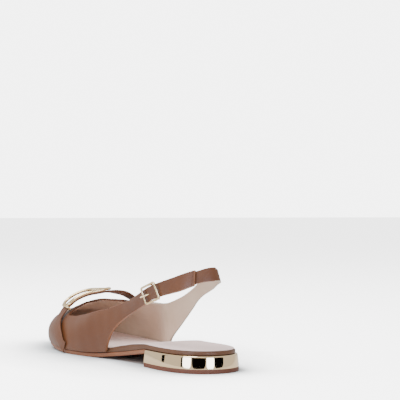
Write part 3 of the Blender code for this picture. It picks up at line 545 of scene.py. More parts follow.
def open_curve(points, count):
    """Even samples of a Catmull-Rom curve through the points."""
    points = np.asarray(points, float)
    padded = np.vstack([2 * points[0] - points[1], points, 2 * points[-1] - points[-2]])
    fine = []
    for i in range(len(points) - 1):
        a, b, c, d = padded[i:i + 4]
        for t in np.linspace(0.0, 1.0, CURVE_STEPS, endpoint=False):
            fine.append(0.5 * (2 * b + (c - a) * t + (2 * a - 5 * b + 4 * c - d) * t * t
                               + (3 * b - a - 3 * c + d) * t ** 3))
    fine.append(points[-1])
    fine = np.array(fine)
    way = np.concatenate([[0.0], np.cumsum(np.linalg.norm(np.diff(fine, axis=0), axis=1))])
    even = np.linspace(0.0, way[-1], count)
    return np.stack([np.interp(even, way, fine[:, k]) for k in range(points.shape[1])], axis=1)


def surface_normal(x, height, outer):
    """Outward normal of the upper at a place on one side."""
    step = NORMAL_STEP
    along = upper_side(x + step, height, outer) - upper_side(x - step, height, outer)
    up = upper_side(x, height + step, outer) - upper_side(x, height - step, outer)
    normal = unit(np.cross(up, along))
    return normal if (normal[1] > 0.0) == outer else -normal


def vamp_strap_route():
    """Middle line of the vamp strap with its outward normal, from the outer to the inner side."""
    rows = []
    lift = 0.5 * VAMP_STRAP_THICK + 2.0 * FIT_GAP
    for outer, table in ((True, STRAP_OUTER), (None, STRAP_BRIDGE), (False, STRAP_INNER)):
        for k in range(len(table["along"])):
            x, height = table["along"][k] * SOLE_LENGTH, table["height"][k] * VAMP_HEIGHT
            if outer is None:
                place = np.array([x, table["across"][k] * BALL_WIDTH, height])
                away = np.array([0.0, place[1] - CROWN_OFFSET, place[2] - 0.1 * VAMP_HEIGHT])
                normal = unit(unit(away) + np.array([table["lean"][k], 0.0, 0.0]))
            else:
                normal = surface_normal(x, height, outer)
                place = upper_side(x, height, outer) + normal * (lift + table["stand"][k] * WALL)
            rows.append(np.concatenate([place, normal]))
    route = open_curve(rows, STRAP_STEPS)
    return route[:, :3], route[:, 3:]


def frames(points, normals, closed=False):
    """Tangent, width and normal directions along a line."""
    if closed:
        ahead = np.roll(points, -1, 0) - np.roll(points, 1, 0)
    else:
        ahead = np.gradient(points, axis=0)
    out = []
    for tangent, normal in zip(ahead, normals):
        tangent = unit(tangent)
        width = unit(np.cross(normal, tangent))
        out.append((tangent, width, unit(np.cross(tangent, width))))
    return out


def oval_section(half_width, half_height, sides):
    """Ellipse with a number of sides."""
    turns = np.linspace(0.0, 2.0 * pi, sides, endpoint=False)
    return [(half_width * cos(turn), half_height * sin(turn)) for turn in turns]


def at_route(route, way):
    """Place and directions at a share of the way along the strap's route."""
    points, normals = route
    index = way * (len(points) - 1)
    low = min(int(index), len(points) - 2)
    part = index - low
    axes = frames(points, normals)
    blended = [a * (1 - part) + b * part for a, b in zip(axes[low], axes[low + 1])]
    return points[low] * (1 - part) + points[low + 1] * part, [unit(axis) for axis in blended]


def buckle_axes():
    """Middle of the buckle on the billet's outside, with its axes: back, up and outwards."""
    half = 0.5 * BUCKLE_LENGTH
    front, middle, back = (upper_side(x, 0.5 * sum(billet_edges(x)), True)
                           for x in (BUCKLE_X + half, BUCKLE_X, BUCKLE_X - half))
    to_back = unit(back - front)
    low, top = (upper_side(BUCKLE_X, height, True) for height in billet_edges(BUCKLE_X))
    rib = top - low
    out = unit(np.cross(rib, to_back))
    out = out if out[1] > 0.0 else -out
    up = unit(np.cross(out, to_back))
    up = up if up[2] > 0.0 else -up
    return middle, to_back, up, out


def billet_spread(axes):
    """Lowest and highest reach of the billet's outside along the buckle's outward axis, the highest
    all along the frame and the lowest at the middle bar."""
    middle, out = axes[0], axes[3]
    reach = []
    for x in np.linspace(BUCKLE_X - 0.6 * BUCKLE_LENGTH, BUCKLE_X + 0.6 * BUCKLE_LENGTH, 9):
        low, top = billet_edges(x)
        for height in np.linspace(low, top, 5):
            reach.append(((upper_side(x, height, True) - middle) @ out, abs(x - BUCKLE_X)))
    highest = max(value for value, away in reach)
    lowest = min(value for value, away in reach if away < 0.3 * BUCKLE_LENGTH)
    return lowest, highest


def buckle_rises(axes):
    """Heights of the frame and of the middle bar along the buckle's outward axis."""
    lowest, highest = billet_spread(axes)
    return highest + FIT_GAP + BUCKLE_ROD, lowest - WALL - FIT_GAP - BAR_RADIUS


def placed(axes, offsets):
    """Points of the buckle from their offsets back, up and outwards."""
    middle, to_back, up, out = axes
    return np.array([middle + to_back * back + up * rise + out * away
                     for back, rise, away in offsets])


def srgb(code):
    """Linear colour of an sRGB hex code."""
    out = []
    for i in (0, 2, 4):
        value = int(code[i:i + 2], 16) / 255.0
        out.append(value / 12.92 if value <= 0.04045 else ((value + 0.055) / 1.055) ** 2.4)
    return (*out, 1.0)


def new_material(name):
    """Material with its Principled shader and the tree that holds it."""
    material = bpy.data.materials.new(name)
    material.use_nodes = True
    return material, material.node_tree.nodes["Principled BSDF"], material.node_tree


def place_in_object(tree):
    """Place on the object, which the patterns are laid out by."""
    return add(tree, "ShaderNodeTexCoord").outputs["Object"]


def bumped(tree, shader, height, strength, distance):
    """Gives a shader the relief of a height."""
    bump = add(tree, "ShaderNodeBump", Strength=strength, Distance=distance, Height=height)
    tree.links.new(bump.outputs["Normal"], shader.inputs["Normal"])


def finished(shader, **values):
    """Sets plain inputs of a shader by name."""
    for key, value in values.items():
        shader.inputs[key.replace("_", " ")].default_value = value


def feed(tree, socket, value):
    """Gives a socket a link or a value."""
    if isinstance(value, bpy.types.NodeSocket):
        tree.links.new(value, socket)
    else:
        socket.default_value = value


def add(tree, kind, settings=None, **links):
    """Adds a node, sets its properties, and gives each named input a value or a link."""
    node = tree.nodes.new(kind)
    for key, value in (settings or {}).items():
        setattr(node, key, value)
    for key, value in links.items():
        name = key.replace("_", " ") if not key.startswith("in") else int(key[2:])
        feed(tree, node.inputs[name], value)
    return node


def ramp(tree, factor, stops):
    """Colour ramp between stops, each a position and a colour."""
    node = add(tree, "ShaderNodeValToRGB", in0=factor)
    while len(node.color_ramp.elements) < len(stops):
        node.color_ramp.elements.new(0.5)
    for element, (place, colour) in zip(node.color_ramp.elements, stops):
        element.position = place
        element.color = colour
    return node.outputs["Color"]


def mix(tree, factor, first, second):
    """Mixes two colours."""
    node = add(tree, "ShaderNodeMix", {"data_type": "RGBA"})
    for number, value in ((0, factor), (6, first), (7, second)):
        feed(tree, node.inputs[number], value)
    return node.outputs[2]


def calc(tree, operation, first, second):
    """Result of one Math node."""
    return add(tree, "ShaderNodeMath", {"operation": operation}, in0=first, in1=second).outputs[0]


def turned_throat(tree, where, tone):
    """Paints the calf leather that is turned over the lining round the throat."""
    edge = add(tree, "ShaderNodeAttribute", {"attribute_name": "edge_way"}).outputs["Fac"]
    along = add(tree, "ShaderNodeSeparateXYZ", Vector=where).outputs["X"]
    turned = calc(tree, "MULTIPLY", calc(tree, "LESS_THAN", edge, FOLD),
                  calc(tree, "GREATER_THAN", along, FOLD_FROM))
    return mix(tree, turned, tone, DARK_FOLD)


def quarter_rims(tree, where, tone):
    """Paints the rims behind the throat: lining on the inner quarter, and on the outer trimmed calf
    in a lighter tone, a painted highlight that also lifts the rim's shade.
    """
    edge = add(tree, "ShaderNodeAttribute", {"attribute_name": "edge_way"}).outputs["Fac"]
    axes = add(tree, "ShaderNodeSeparateXYZ", Vector=where)
    rim = calc(tree, "MULTIPLY", calc(tree, "LESS_THAN", edge, RIM_BAND),
               calc(tree, "LESS_THAN", axes.outputs["X"], FOLD_FROM))
    inner = calc(tree, "LESS_THAN", axes.outputs["Y"], 0.0)
    return mix(tree, rim, tone, mix(tree, inner, RIM_PAINTED_HIGHLIGHT, LINING_EDGE))


def leather(name, colour, darker, roughness, grain=0.10, coat=0.12, paint=None):
    """Fine-grained leather: pebble and pore bump and a soft cloudy tone, with its edges painted."""
    material, shader, tree = new_material(name)
    where = place_in_object(tree)
    cloud = add(tree, "ShaderNodeTexNoise", Vector=where, Scale=42.0, Detail=3.0, Roughness=0.5)
    tone = ramp(tree, cloud.outputs["Fac"], [(0.32, darker), (0.68, colour)])
    if paint:
        tone = paint(tree, where, tone)
    tree.links.new(tone, shader.inputs["Base Color"])
    pebble = add(tree, "ShaderNodeTexVoronoi", {"feature": "DISTANCE_TO_EDGE"},
                 Vector=where, Scale=900.0, Randomness=1.0)
    folds = add(tree, "ShaderNodeTexNoise", Vector=where, Scale=315.0, Detail=4.0, Roughness=0.6)
    relief = add(tree, "ShaderNodeMath", {"operation": "MULTIPLY_ADD"},
                 in0=pebble.outputs["Distance"], in1=0.8, in2=folds.outputs["Fac"])
    bumped(tree, shader, relief.outputs[0], grain, 0.0003)
    wear = add(tree, "ShaderNodeMapRange", Value=cloud.outputs["Fac"], To_Min=roughness - 0.04,
               To_Max=roughness + 0.05)
    tree.links.new(wear.outputs["Result"], shader.inputs["Roughness"])
    finished(shader, Coat_Weight=coat, Coat_Roughness=0.35, Specular_IOR_Level=0.35)
    return material


def layered_edge(name, colour, darker):
    """Burnished edge of sole leather: fine fibres that run along the sole."""
    material, shader, tree = new_material(name)
    stretch = add(tree, "ShaderNodeMapping", Vector=place_in_object(tree),
                  Scale=(60.0, 60.0, 1600.0))
    fibres = add(tree, "ShaderNodeTexNoise", Vector=stretch.outputs[0], Scale=1.0, Detail=3.0)
    tone = ramp(tree, fibres.outputs["Fac"], [(0.30, darker), (0.70, colour)])
    tree.links.new(tone, shader.inputs["Base Color"])
    bumped(tree, shader, fibres.outputs["Fac"], 0.12, 0.0002)
    finished(shader, Roughness=0.5)
    return material


def plated(name, colour, roughness):
    """Polished plating with very faint waviness."""
    material, shader, tree = new_material(name)
    ripple = add(tree, "ShaderNodeTexNoise", Vector=place_in_object(tree), Scale=95.0, Detail=1.0)
    bumped(tree, shader, ripple.outputs["Fac"], 0.02, 0.001)
    finished(shader, Base_Color=colour, Metallic=1.0, Roughness=roughness)
    return material


def plain(name, colour, roughness):
    """Material with one even colour."""
    material, shader, _ = new_material(name)
    finished(shader, Base_Color=colour, Roughness=roughness)
    return material


# Colours of the upper's edges: cut calf lightened by a painted highlight, lining that shows, and
# calf that is turned over
RIM_PAINTED_HIGHLIGHT = srgb("8E5F43")
LINING_EDGE = srgb("C4B09C")
DARK_FOLD = srgb("5E3A28")

# Smooth tan calf leather of the upper and straps
CALF = leather("tan_calf_leather", srgb("673B1C"), srgb("603619"), 0.46, paint=quarter_rims)
# Beige kid lining inside the upper
LINING = leather("beige_kid_lining", srgb("D6C0AC"), srgb("CCB49E"), 0.62, grain=0.08, coat=0.0,
                 paint=turned_throat)
# Blush sock leather under the foot
SOCK = leather("blush_sock_leather", srgb("F2DAD5"), srgb("ECD2CC"), 0.60, grain=0.08, coat=0.0)
# Tan leather wrapped over the edge of the insole board
WRAP = leather("wrapped_edge_leather", srgb("613B1E"), srgb("593518"), 0.50)
# Natural vegetable-tanned sole leather
SOLE = layered_edge("natural_sole_leather", srgb("905733"), srgb("7C4827"))
# Brown moulded rubber of the top lift
LIFT = leather("brown_lift_rubber", srgb("6A3D29"), srgb("603624"), 0.62, grain=0.15, coat=0.0)
# Mirror-polished pale gold plating on the heel casing
CASING = plated("pale_gold_plating", srgb("E2C79E"), 0.045)
# Polished pale gold plating of link and buckle
GILT = plated("gilt_plating", srgb("EACF9F"), 0.12)
# Waxed linen thread
THREAD = plain("waxed_linen_thread", srgb("6E4734"), 0.7)


def new_object(name, data):
    """New object in the scene."""
    thing = bpy.data.objects.new(name, data)
    bpy.context.collection.objects.link(thing)
    return thing


def dress(piece, node):
    """Hangs a piece on the root body and hides the part that it stands for."""
    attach(piece, "root")
    if node:
        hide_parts(node)


def to_row_frame(mesh, *materials):
    """Moves a mesh that was drawn from the back of the heel into the row frame, with materials."""
    mesh.transform(Matrix.Translation((-HEEL_REST, 0.0, 0.0)))
    for material in materials:
        mesh.materials.append(material)


def add_piece(name, mesh, node, material):
    """Makes a piece of the shoe from a mesh drawn from the back of the heel."""
    mesh.name = name
    to_row_frame(mesh, material)
    dress(new_object(name, mesh), node)


def evaluated_mesh(piece):
    """Plain mesh of a piece with its modifiers."""
    deps = bpy.context.evaluated_depsgraph_get()
    return bpy.data.meshes.new_from_object(piece.evaluated_get(deps), depsgraph=deps)


def smooth_mesh(name, build):
    """Mesh with smooth faces from a bmesh."""
    mesh = bpy.data.meshes.new(name)
    build.to_mesh(mesh)
    build.free()
    mesh.shade_smooth()
    return mesh


def solid_mesh(build, sharp=SHARP_ANGLE):
    """Mesh of a closed bmesh with smooth faces and sharp corners."""
    bmesh.ops.remove_doubles(build, verts=build.verts, dist=1e-6)
    bmesh.ops.dissolve_degenerate(build, edges=build.edges, dist=1e-7)
    bmesh.ops.recalc_face_normals(build, faces=build.faces)
    mesh = smooth_mesh("solid", build)
    mesh.set_sharp_from_angle(angle=radians(sharp))
    return mesh


def slab(levels):
    """Solid between levels, each a pair of side curves that share their stations."""
    build = bmesh.new()
    rows = [[[build.verts.new(point) for point in side] for side in level] for level in levels]
    count = len(rows[0][0])
    for lower, upper in zip(rows, rows[1:]):
        for side in (0, 1):
            for i in range(count - 1):
                build.faces.new((lower[side][i], lower[side][i + 1],
                                 upper[side][i + 1], upper[side][i]))
        for end in (0, count - 1):
            build.faces.new((lower[0][end], lower[1][end], upper[1][end], upper[0][end]))
    for outer, inner in (rows[0], rows[-1]):
        for i in range(count - 1):
            build.faces.new((outer[i], outer[i + 1], inner[i + 1], inner[i]))
    return solid_mesh(build)


def rounded_levels(stations, offset, low, high, low_round, high_round):
    """Levels of a slab whose lower and upper edges are rounded."""
    levels = []
    turns = np.linspace(0.0, pi / 2.0, EDGE_STEPS)
    for base, radius, order in ((low, low_round, turns), (high, -high_round, turns[::-1])):
        for turn in order:
            levels.append(side_curves(
                stations, lambda x: offset(x) - abs(radius) * (1.0 - sin(turn)),
                lambda x: base(x) + radius * (1.0 - cos(turn))))
    return levels


def casing_levels(stations):
    """Levels of the heel casing: a wall that leans in a little, with a rounded upper lip."""
    levels = []
    wall_top = SEAT_HEIGHT - HEEL_LIP_RADIUS
    for share in np.linspace(0.0, 1.0, CASING_STEPS):
        levels.append(side_curves(stations, HEEL_PROUD - HEEL_TAPER * share ** 1.3,
                                  lambda x: LIFT_THICK + (wall_top - LIFT_THICK) * share))
    for turn in np.linspace(0.0, pi / 2.0, LIP_STEPS)[1:]:
        levels.append(side_curves(
            stations, HEEL_PROUD - HEEL_TAPER - HEEL_LIP_RADIUS * (1.0 - cos(turn)),
            lambda x: wall_top + HEEL_LIP_RADIUS * sin(turn)))
    return levels


def sole_proud(x):
    """How far the outsole stands out from the outline."""
    share = smooth([0.0, 0.40, 0.50, 1.0], [0.0, 0.0, 1.0, 1.0], x / SOLE_LENGTH)
    return OUTSOLE_PROUD * float(share)


def draw_sole():
    """Outsole, wrapped board, sock, heel casing and top lift."""
    front = station_row(HEEL_BREAST + 2.0 * FIT_GAP, SOLE_LENGTH, STATIONS)
    whole = station_row(0.0, SOLE_LENGTH, BOARD_STATIONS)
    heel = station_row(0.0, HEEL_BREAST, STATIONS)
    edge = 0.3 * SEAT_BOARD_THICK
    outsole = rounded_levels(front, sole_proud, outsole_under,
                             lambda x: outsole_under(x) + OUTSOLE_THICK,
                             0.25 * OUTSOLE_THICK, 0.08 * OUTSOLE_THICK)
    board = rounded_levels(whole, lambda x: -seat_inset(x), board_under, board_top,
                           0.4 * edge, edge)
    sock = rounded_levels(whole, lambda x: -seat_inset(x) - SOCK_INSET,
                          lambda x: board_top(x) + FIT_GAP,
                          lambda x: board_top(x) + FIT_GAP + SOCK_THICK,
                          0.1 * SOCK_THICK, 0.6 * SOCK_THICK)
    lift = rounded_levels(heel, lambda x: HEEL_PROUD, lambda x: 0.0,
                          lambda x: LIFT_THICK - LIFT_GAP, 0.12 * LIFT_THICK, 0.05 * LIFT_THICK)
    for name, levels, node, slot_name, material in (
            ("outsole_leather", outsole, "outsole", "sole_leather", SOLE),
            ("board_wrap", board, "insole_board", "edge_leather", WRAP),
            ("sock_lining", sock, "insole_sock", "sock_leather", SOCK),
            ("heel_casing", casing_levels(heel), "heel_block", "gold_plating", CASING),
            ("top_lift_rubber", lift, "top_lift", "lift_rubber", LIFT)):
        add_piece(name, slab(levels), node, material)


def wave(point):
    """Soft unevenness of worked leather, outwards, in metres."""
    x, y, z = (value * 1000.0 for value in point)
    return WAVE * (sin(x * 0.19 + z * 0.11 + 1.3) * cos(z * 0.17 - y * 0.13)
                   + 0.6 * sin(x * 0.41 - z * 0.23 + y * 0.12 + 0.4))


def upper_rows():
    """Ribs of the upper from the billet's end round the toe and the heel to the buckle, each with
    whether its lower and its upper end is a free edge."""
    rows = []
    for place, normal, table, inset, trim in band_places():
        x = place[0]
        row = band_station(place, normal, table, inset, trim)
        low_free = row[0][2] > float(feather_height(x)) + 1e-5
        rows.append((row, low_free, x < THROAT_X))
    rows.append((sling_end(), True, True))
    return rows


def upper_ribs(build, edge_way):
    """Adds the upper's ribs to a bmesh, each vertex with its way to the nearest free edge."""
    far = 1.0
    ribs = []
    for row, low_free, top_free in upper_rows():
        steps = np.linalg.norm(np.diff(np.array(row), axis=0), axis=1)
        along = np.concatenate([[0.0], np.cumsum(steps)])
        rib = []
        for k, point in enumerate(row):
            vert = build.verts.new(point)
            vert[edge_way] = min(along[k] if low_free else far,
                                 along[-1] - along[k] if top_free else far)
            rib.append(vert)
        ribs.append(rib)
    for end, step in ((0, 1), (-1, -1)):
        way = 0.0
        for n in range(END_RIBS):
            rib, following = ribs[end + n * step], ribs[end + (n + 1) * step]
            for vert in rib:
                vert[edge_way] = min(vert[edge_way], way)
            way += (rib[RIB_POINTS // 2].co - following[RIB_POINTS // 2].co).length
    return ribs


def upper_skin():
    """Outside of the upper as an open skin that faces outwards."""
    build = bmesh.new()
    edge_way = build.verts.layers.float.new("edge_way")
    ribs = upper_ribs(build, edge_way)
    for one, two in zip(ribs, ribs[1:]):
        for k in range(RIB_POINTS - 1):
            build.faces.new((one[k], two[k], two[k + 1], one[k + 1]))
    bmesh.ops.remove_doubles(build, verts=build.verts, dist=1e-5)
    bmesh.ops.dissolve_degenerate(build, edges=build.edges, dist=1e-6)
    vamp = [face for face in build.faces if face.calc_center_median().x > VAMP_FROM]
    if sum(face.normal.z * face.calc_area() for face in vamp) < 0.0:
        bmesh.ops.reverse_faces(build, faces=build.faces)
    build.normal_update()
    moves = [vert.normal * wave(vert.co) * min(vert[edge_way] / WAVE_FADE, 1.0)
             for vert in build.verts]
    for vert, move in zip(build.verts, moves):
        vert.co += move
    return smooth_mesh("upper_shell", build)


def draw_upper():
    """Calf leather and lining of the whole upper in one wall with rounded edges."""
    mesh = upper_skin()
    to_row_frame(mesh, CALF, LINING)
    piece = new_object("upper_shell", mesh)
    wall = piece.modifiers.new("wall", "SOLIDIFY")
    wall.thickness = WALL
    wall.offset = -1.0
    wall.use_even_offset = False
    wall.material_offset = 1
    wall.material_offset_rim = 0
    rim = piece.modifiers.new("rim", "BEVEL")
    rim.width = RIM_RADIUS
    rim.segments = 3
    rim.limit_method = "ANGLE"
    rim.angle_limit = radians(RIM_ANGLE)
    rim.use_clamp_overlap = True
    whole = evaluated_mesh(piece)
    whole.shade_smooth()
    piece.modifiers.clear()
    piece.data = whole
    dress(piece, "upper")


def rod(points, normals, section, closed=False, skived=0):
    """Solid that carries a section along a line, thinner to both ends over the skived rings."""
    build = bmesh.new()
    rings = []
    last = len(points) - 1
    axes = frames(points, np.broadcast_to(normals, np.shape(points)), closed)
    for k, (point, (_, width, normal)) in enumerate(zip(points, axes)):
        thin = 1.0 - STRAP_SKIVE * max(0.0, 1.0 - min(k, last - k) / skived) if skived else 1.0
        rings.append([build.verts.new(point + width * across + normal * up * thin)
                      for across, up in section])
    count = len(section)
    pairs = list(zip(rings, rings[1:])) + ([(rings[-1], rings[0])] if closed else [])
    for one, two in pairs:
        for k in range(count):
            build.faces.new((one[k], one[(k + 1) % count], two[(k + 1) % count], two[k]))
    if not closed:
        build.faces.new(rings[0])
        build.faces.new(rings[-1])
    return build


def merged(builds):
    """One mesh of the solids that make up one metal piece."""
    whole = bmesh.new()
    for build in builds:
        mesh = smooth_mesh("part", build)
        whole.from_mesh(mesh)
        bpy.data.meshes.remove(mesh)
    return solid_mesh(whole, METAL_SHARP_ANGLE)


def rounded_box(half_width, half_height, radius, steps):
    """Rectangle with rounded corners, as a loop of points."""
    points = []
    for quarter, (side, up) in enumerate(((1, 1), (-1, 1), (-1, -1), (1, -1))):
        for turn in np.linspace(0.0, pi / 2.0, steps) + quarter * pi / 2.0:
            points.append((side * (half_width - radius) + radius * cos(turn),
                           up * (half_height - radius) + radius * sin(turn)))
    return points


def draw_strap(route):
    """Vamp strap with soft edges, skived to both ends."""
    section = rounded_box(0.5 * VAMP_STRAP_WIDTH, 0.5 * VAMP_STRAP_THICK,
                          0.45 * VAMP_STRAP_THICK, STRAP_EDGE_STEPS)
    mesh = solid_mesh(rod(*route, section, skived=SKIVE_STEPS), STRAP_SHARP_ANGLE)
    add_piece("vamp_strap_leather", mesh, "vamp_strap", CALF)


def link_outline(start, stop, rail):
    """Loop of the link's rod, as places along and across the strap."""
    ways = np.linspace(start, stop, LINK_STEPS)
    turns = np.linspace(0.0, pi, LINK_TURN_STEPS)[1:-1]
    return ([(way, rail) for way in ways]
            + [(stop + rail * sin(turn), rail * cos(turn)) for turn in turns]
            + [(way, -rail) for way in ways[::-1]]
            + [(start - rail * sin(turn), -rail * cos(turn)) for turn in turns])


def keeper_loop(place, width, normal):
    """Squared loop of the keeper round the strap."""
    half_w = 0.5 * VAMP_STRAP_WIDTH + FIT_GAP + KEEPER_ROD
    half_h = 0.5 * VAMP_STRAP_THICK + FIT_GAP + KEEPER_ROD
    loop = []
    for turn in np.linspace(0.0, 2.0 * pi, KEEPER_STEPS, endpoint=False):
        across = half_w * np.sign(cos(turn)) * abs(cos(turn)) ** KEEPER_SQUARE
        up = half_h * np.sign(sin(turn)) * abs(sin(turn)) ** KEEPER_SQUARE
        loop.append(place + width * across + normal * up)
    return np.array(loop)


def draw_link(route):
    """Long oval link with a keeper round the strap at its outer end."""
    total = float(np.linalg.norm(np.diff(route[0], axis=0), axis=1).sum())
    rise = 0.5 * VAMP_STRAP_THICK + FIT_GAP + LINK_ROD
    rail = 0.5 * LINK_WIDTH - LINK_ROD
    points, normals = [], []
    for way, across in link_outline(LINK_START * total + rail, LINK_STOP * total - rail, rail):
        place, (_, width, normal) = at_route(route, way / total)
        points.append(place + width * across + normal * rise)
        normals.append(normal)
    link = rod(np.array(points), np.array(normals),
               oval_section(LINK_FLAT * LINK_ROD, LINK_ROD, ROD_SIDES), closed=True)
    place, (tangent, width, normal) = at_route(route, LINK_START)
    keeper = rod(keeper_loop(place, width, normal), tangent,
                 oval_section(KEEPER_ROD, KEEPER_FLAT * KEEPER_ROD, THIN_ROD_SIDES), closed=True)
    add_piece("vamp_link_metal", merged([link, keeper]), "vamp_link", GILT)


def draw_buckle_frame(axes):
    """Frame of the buckle and the middle bar that is bent down from it under the billet."""
    to_back, out = axes[1], axes[3]
    frame_rise, bar_rise = buckle_rises(axes)
    half_l, half_h = 0.5 * BUCKLE_LENGTH, 0.5 * BUCKLE_HEIGHT
    corners = rounded_box(half_l, half_h, BUCKLE_CORNER, CORNER_STEPS)
    loop = placed(axes, [(back, up, frame_rise) for back, up in corners])
    leg = [(half_h, frame_rise)]
    leg += [(half_h - BAR_BEND * (1.0 - cos(turn)), bar_rise + BAR_BEND * (1.0 - sin(turn)))
            for turn in np.linspace(0.0, pi / 2.0, BAR_BEND_STEPS)]
    legs = leg + [(-up, rise) for up, rise in leg[::-1]]
    bar = placed(axes, [(0.0, up, rise) for up, rise in legs])
    add_piece("buckle_metal", merged([
        rod(loop, out, oval_section(BUCKLE_ROD, BUCKLE_ROD, ROD_SIDES), closed=True),
        rod(bar, to_back, oval_section(BAR_RADIUS, BAR_RADIUS, THIN_ROD_SIDES))]),
        "buckle_frame", GILT)


def draw_prong(axes):
    """Prong from the middle bar through the billet to its rest on the frame's front end."""
    frame_rise, bar_rise = buckle_rises(axes)
    reach = 0.5 * BUCKLE_LENGTH
    root_reach = BAR_RADIUS + FIT_GAP + 2.0 * PRONG_RADIUS
    slope = np.arctan2(frame_rise - bar_rise, reach - root_reach)
    over = frame_rise + (BUCKLE_ROD + FIT_GAP + PRONG_RADIUS) / cos(slope)
    root, rest = placed(axes, [(-root_reach, 0.0, bar_rise), (-reach, 0.0, over)])
    tip = rest + unit(rest - root) * 1.2 * BUCKLE_ROD
    pin = root + np.outer(np.linspace(0.0, 1.0, PIN_STEPS), tip - root)
    add_piece("prong_metal", merged([
        rod(pin, axes[3], oval_section(PRONG_RADIUS, PRONG_RADIUS, THIN_ROD_SIDES))]),
        "buckle_prong", GILT)


def stitch_form():
    """Short rounded bead of thread that every stitch is a stretched copy of."""
    build = bmesh.new()
    bmesh.ops.create_uvsphere(build, u_segments=10, v_segments=6, radius=0.5)
    form = new_object("stitch_form", smooth_mesh("stitch_form", build))
    form.hide_render = True
    form.hide_viewport = True
    return form


def stitch_tree(form):
    """Node tree that lays stitches along the curves of a piece and turns each along its way."""
    tree = bpy.data.node_groups.new("stitch_row", "GeometryNodeTree")
    face = tree.interface
    face.new_socket("Geometry", in_out="INPUT", socket_type="NodeSocketGeometry")
    for label in ("Step", "Length", "Thickness"):
        face.new_socket(label, in_out="INPUT", socket_type="NodeSocketFloat")
    face.new_socket("Thread", in_out="INPUT", socket_type="NodeSocketMaterial")
    face.new_socket("Geometry", in_out="OUTPUT", socket_type="NodeSocketGeometry")
    given = tree.nodes.new("NodeGroupInput")
    result = tree.nodes.new("NodeGroupOutput")
    points = add(tree, "GeometryNodeCurveToPoints", {"mode": "LENGTH"},
                 Curve=given.outputs["Geometry"], Length=given.outputs["Step"])
    size = add(tree, "ShaderNodeCombineXYZ", X=given.outputs["Thickness"],
               Y=given.outputs["Thickness"], Z=given.outputs["Length"])
    one = add(tree, "GeometryNodeObjectInfo")
    one.inputs["Object"].default_value = form
    stitched = add(tree, "GeometryNodeInstanceOnPoints", Points=points.outputs["Points"],
                   Instance=one.outputs["Geometry"], Rotation=points.outputs["Rotation"],
                   Scale=size.outputs[0])
    real = add(tree, "GeometryNodeRealizeInstances", Geometry=stitched.outputs["Instances"])
    painted = add(tree, "GeometryNodeSetMaterial", Geometry=real.outputs["Geometry"],
                  Material=given.outputs["Thread"])
    tree.links.new(painted.outputs["Geometry"], result.inputs["Geometry"])
    return tree


def draw_stitches():
    """Row of thread that holds the billet's straight-cut end to the strap under it."""
    x_end = SIDE_ROW[0] * SOLE_LENGTH
    x = x_end + STITCH_INSET
    low, top = billet_edges(x_end)
    curve = bpy.data.curves.new("billet_stitches", "CURVE")
    curve.dimensions = "3D"
    line = curve.splines.new("POLY")
    line.points.add(STITCH_LINE_POINTS - 1)
    heights = np.linspace(low + STITCH_END, top - STITCH_END, STITCH_LINE_POINTS)
    for point, height in zip(line.points, heights):
        stand = surface_normal(x, height, True) * STITCH_STAND * STITCH_THICK
        place = upper_side(x, height, True) + stand
        point.co = (place[0] - HEEL_REST, place[1], place[2], 1.0)
    row = new_object("billet_stitches", curve)
    laid = row.modifiers.new("stitches", "NODES")
    laid.node_group = stitch_tree(stitch_form())
    for label, value in (("Step", STITCH_STEP), ("Length", STITCH_LENGTH),
                         ("Thickness", STITCH_THICK), ("Thread", THREAD)):
        socket = laid.node_group.interface.items_tree[label].identifier
        laid[socket] = value
    mesh = evaluated_mesh(row)
    bpy.data.objects.remove(row)
    dress(new_object("billet_stitches", mesh), None)


def draw_shoe():
    """All pieces of the shoe."""
    draw_sole()
    draw_upper()
    route = vamp_strap_route()
    draw_strap(route)
    draw_link(route)
    axes = buckle_axes()
    draw_buckle_frame(axes)
    draw_prong(axes)
    draw_stitches()


def draw_floor():
    """White floor paper where the camera sees it, with a painted contact shadow that grows bluish
    and darker close to the shoe.
    """
    material, shader, tree = new_material("pale_floor_paper")
    seen = add(tree, "ShaderNodeLightPath").outputs["Is Camera Ray"]
    near = add(tree, "ShaderNodeAmbientOcclusion", {"samples": 8}, Distance=FLOOR_SHADE_REACH)
    open_share = calc(tree, "POWER", near.outputs["AO"], FLOOR_SHADE_POWER)
    lit = mix(tree, open_share, FLOOR_SHADE_COLOUR, (FLOOR_GAIN, FLOOR_GAIN, FLOOR_GAIN, 1.0))
    paper = mix(tree, seen, FLOOR_COLOUR, lit)
    tree.links.new(paper, shader.inputs["Base Color"])
    finished(shader, Roughness=0.9, Specular_IOR_Level=0.1)
    mesh = bpy.data.meshes.new("floor")
    mesh.from_pydata([(side * FLOOR_REACH, ahead * FLOOR_REACH, 0)
                      for side, ahead in ((-1, -1), (1, -1), (1, 1), (-1, 1))],
                     [], [(0, 1, 2, 3)])
    mesh.materials.append(material)
    floor = new_object("floor", mesh)


def draw_world():
    """White surround, brighter where the camera looks at it than where it lights the shoe."""
    world = bpy.data.worlds.new("studio")
    bpy.context.scene.world = world
    world.use_nodes = True
    tree = world.node_tree
    back = tree.nodes["Background"]
    back.inputs["Color"].default_value = srgb("F0F0F0")
    seen = add(tree, "ShaderNodeLightPath").outputs["Is Camera Ray"]
    strength = add(tree, "ShaderNodeMapRange", Value=seen, To_Min=WORLD_STRENGTH,
                   To_Max=BACKDROP_STRENGTH)
    tree.links.new(strength.outputs["Result"], back.inputs["Strength"])


def emitter(name, strength, colour):
    """Plain glowing surface of a studio card."""
    material = bpy.data.materials.new(name)
    material.use_nodes = True
    tree = material.node_tree
    tree.nodes.clear()
    glow = add(tree, "ShaderNodeEmission", Color=colour, Strength=strength)
    out = tree.nodes.new("ShaderNodeOutputMaterial")
    tree.links.new(glow.outputs[0], out.inputs["Surface"])
    return material


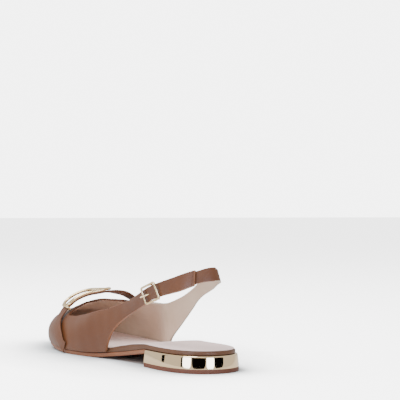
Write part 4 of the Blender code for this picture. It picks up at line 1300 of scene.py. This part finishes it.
def card(name, azimuth, width, material):
    """Upright studio card that faces the shoe and shows only in reflections."""
    angle = radians(azimuth)
    centre = Vector((CARD_AWAY * cos(angle), CARD_AWAY * sin(angle),
                     CARD_LOW + CARD_HEIGHT / 2.0))
    side = Vector((-sin(angle), cos(angle), 0.0))
    rise = Vector((0.0, 0.0, 1.0))
    corners = rounded_box(width / 2.0, CARD_HEIGHT / 2.0, CARD_CORNER * width, CARD_CORNER_STEPS)
    points = [centre + side * across + rise * up for across, up in corners]
    mesh = bpy.data.meshes.new(name)
    mesh.from_pydata(points, [], [tuple(range(len(points)))])
    mesh.materials.append(material)
    piece = new_object(name, mesh)
    for ray in ("camera", "diffuse", "shadow", "transmission"):
        setattr(piece, "visible_" + ray, False)


def draw_cards():
    """Cards round the heel, which its casing mirrors."""
    shades = {"white": emitter("white_card", CARD_STRENGTH, CARD_COLOUR),
              "black": emitter("black_card", DARK_CARD_STRENGTH, (1.0, 1.0, 1.0, 1.0))}
    for number, (start, stop, shade) in enumerate(REFLECTED):
        width = 2.0 * CARD_AWAY * sin(radians((stop - start) / 2.0))
        card("card_%d" % number, (start + stop) / 2.0, width, shades[shade])


def area_light(name, place, aim, size, power):
    """Round lamp that points at a place."""
    light = bpy.data.lights.new(name, "AREA")
    light.shape = "DISK"
    light.size = size
    light.energy = power
    lamp = new_object(name, light)
    lamp.location = place
    lamp.rotation_euler = (Vector(aim) - Vector(place)).to_track_quat("-Z", "Y").to_euler()


def draw_camera():
    """Camera that was fitted to the photo, held to the row frame."""
    around, pitch = radians(CAMERA_AROUND), radians(CAMERA_PITCH)
    view = Vector((cos(around) * cos(pitch), -sin(around) * cos(pitch), -sin(pitch)))
    right = Vector((-sin(around), -cos(around), 0.0))
    up = right.cross(view)
    place = Vector(CAMERA_CENTRE) - view * CAMERA_AWAY + right * CAMERA_SIDE + up * CAMERA_RISE
    data = bpy.data.cameras.new("camera")
    data.lens = CAMERA_LENS
    data.sensor_width = 36.0
    data.clip_start = 0.01
    data.clip_end = 100.0
    camera = new_object("camera", data)
    turned = Matrix((right, up, -view)).transposed().to_4x4()
    camera.matrix_world = Matrix.Translation(place) @ turned
    bpy.context.scene.camera = camera


draw_shoe()
draw_floor()
draw_world()
draw_cards()
area_light("key_light", KEY_PLACE, KEY_AIM, KEY_SIZE, KEY_POWER)
area_light("fill_light", FILL_PLACE, FILL_AIM, FILL_SIZE, FILL_POWER)
draw_camera()
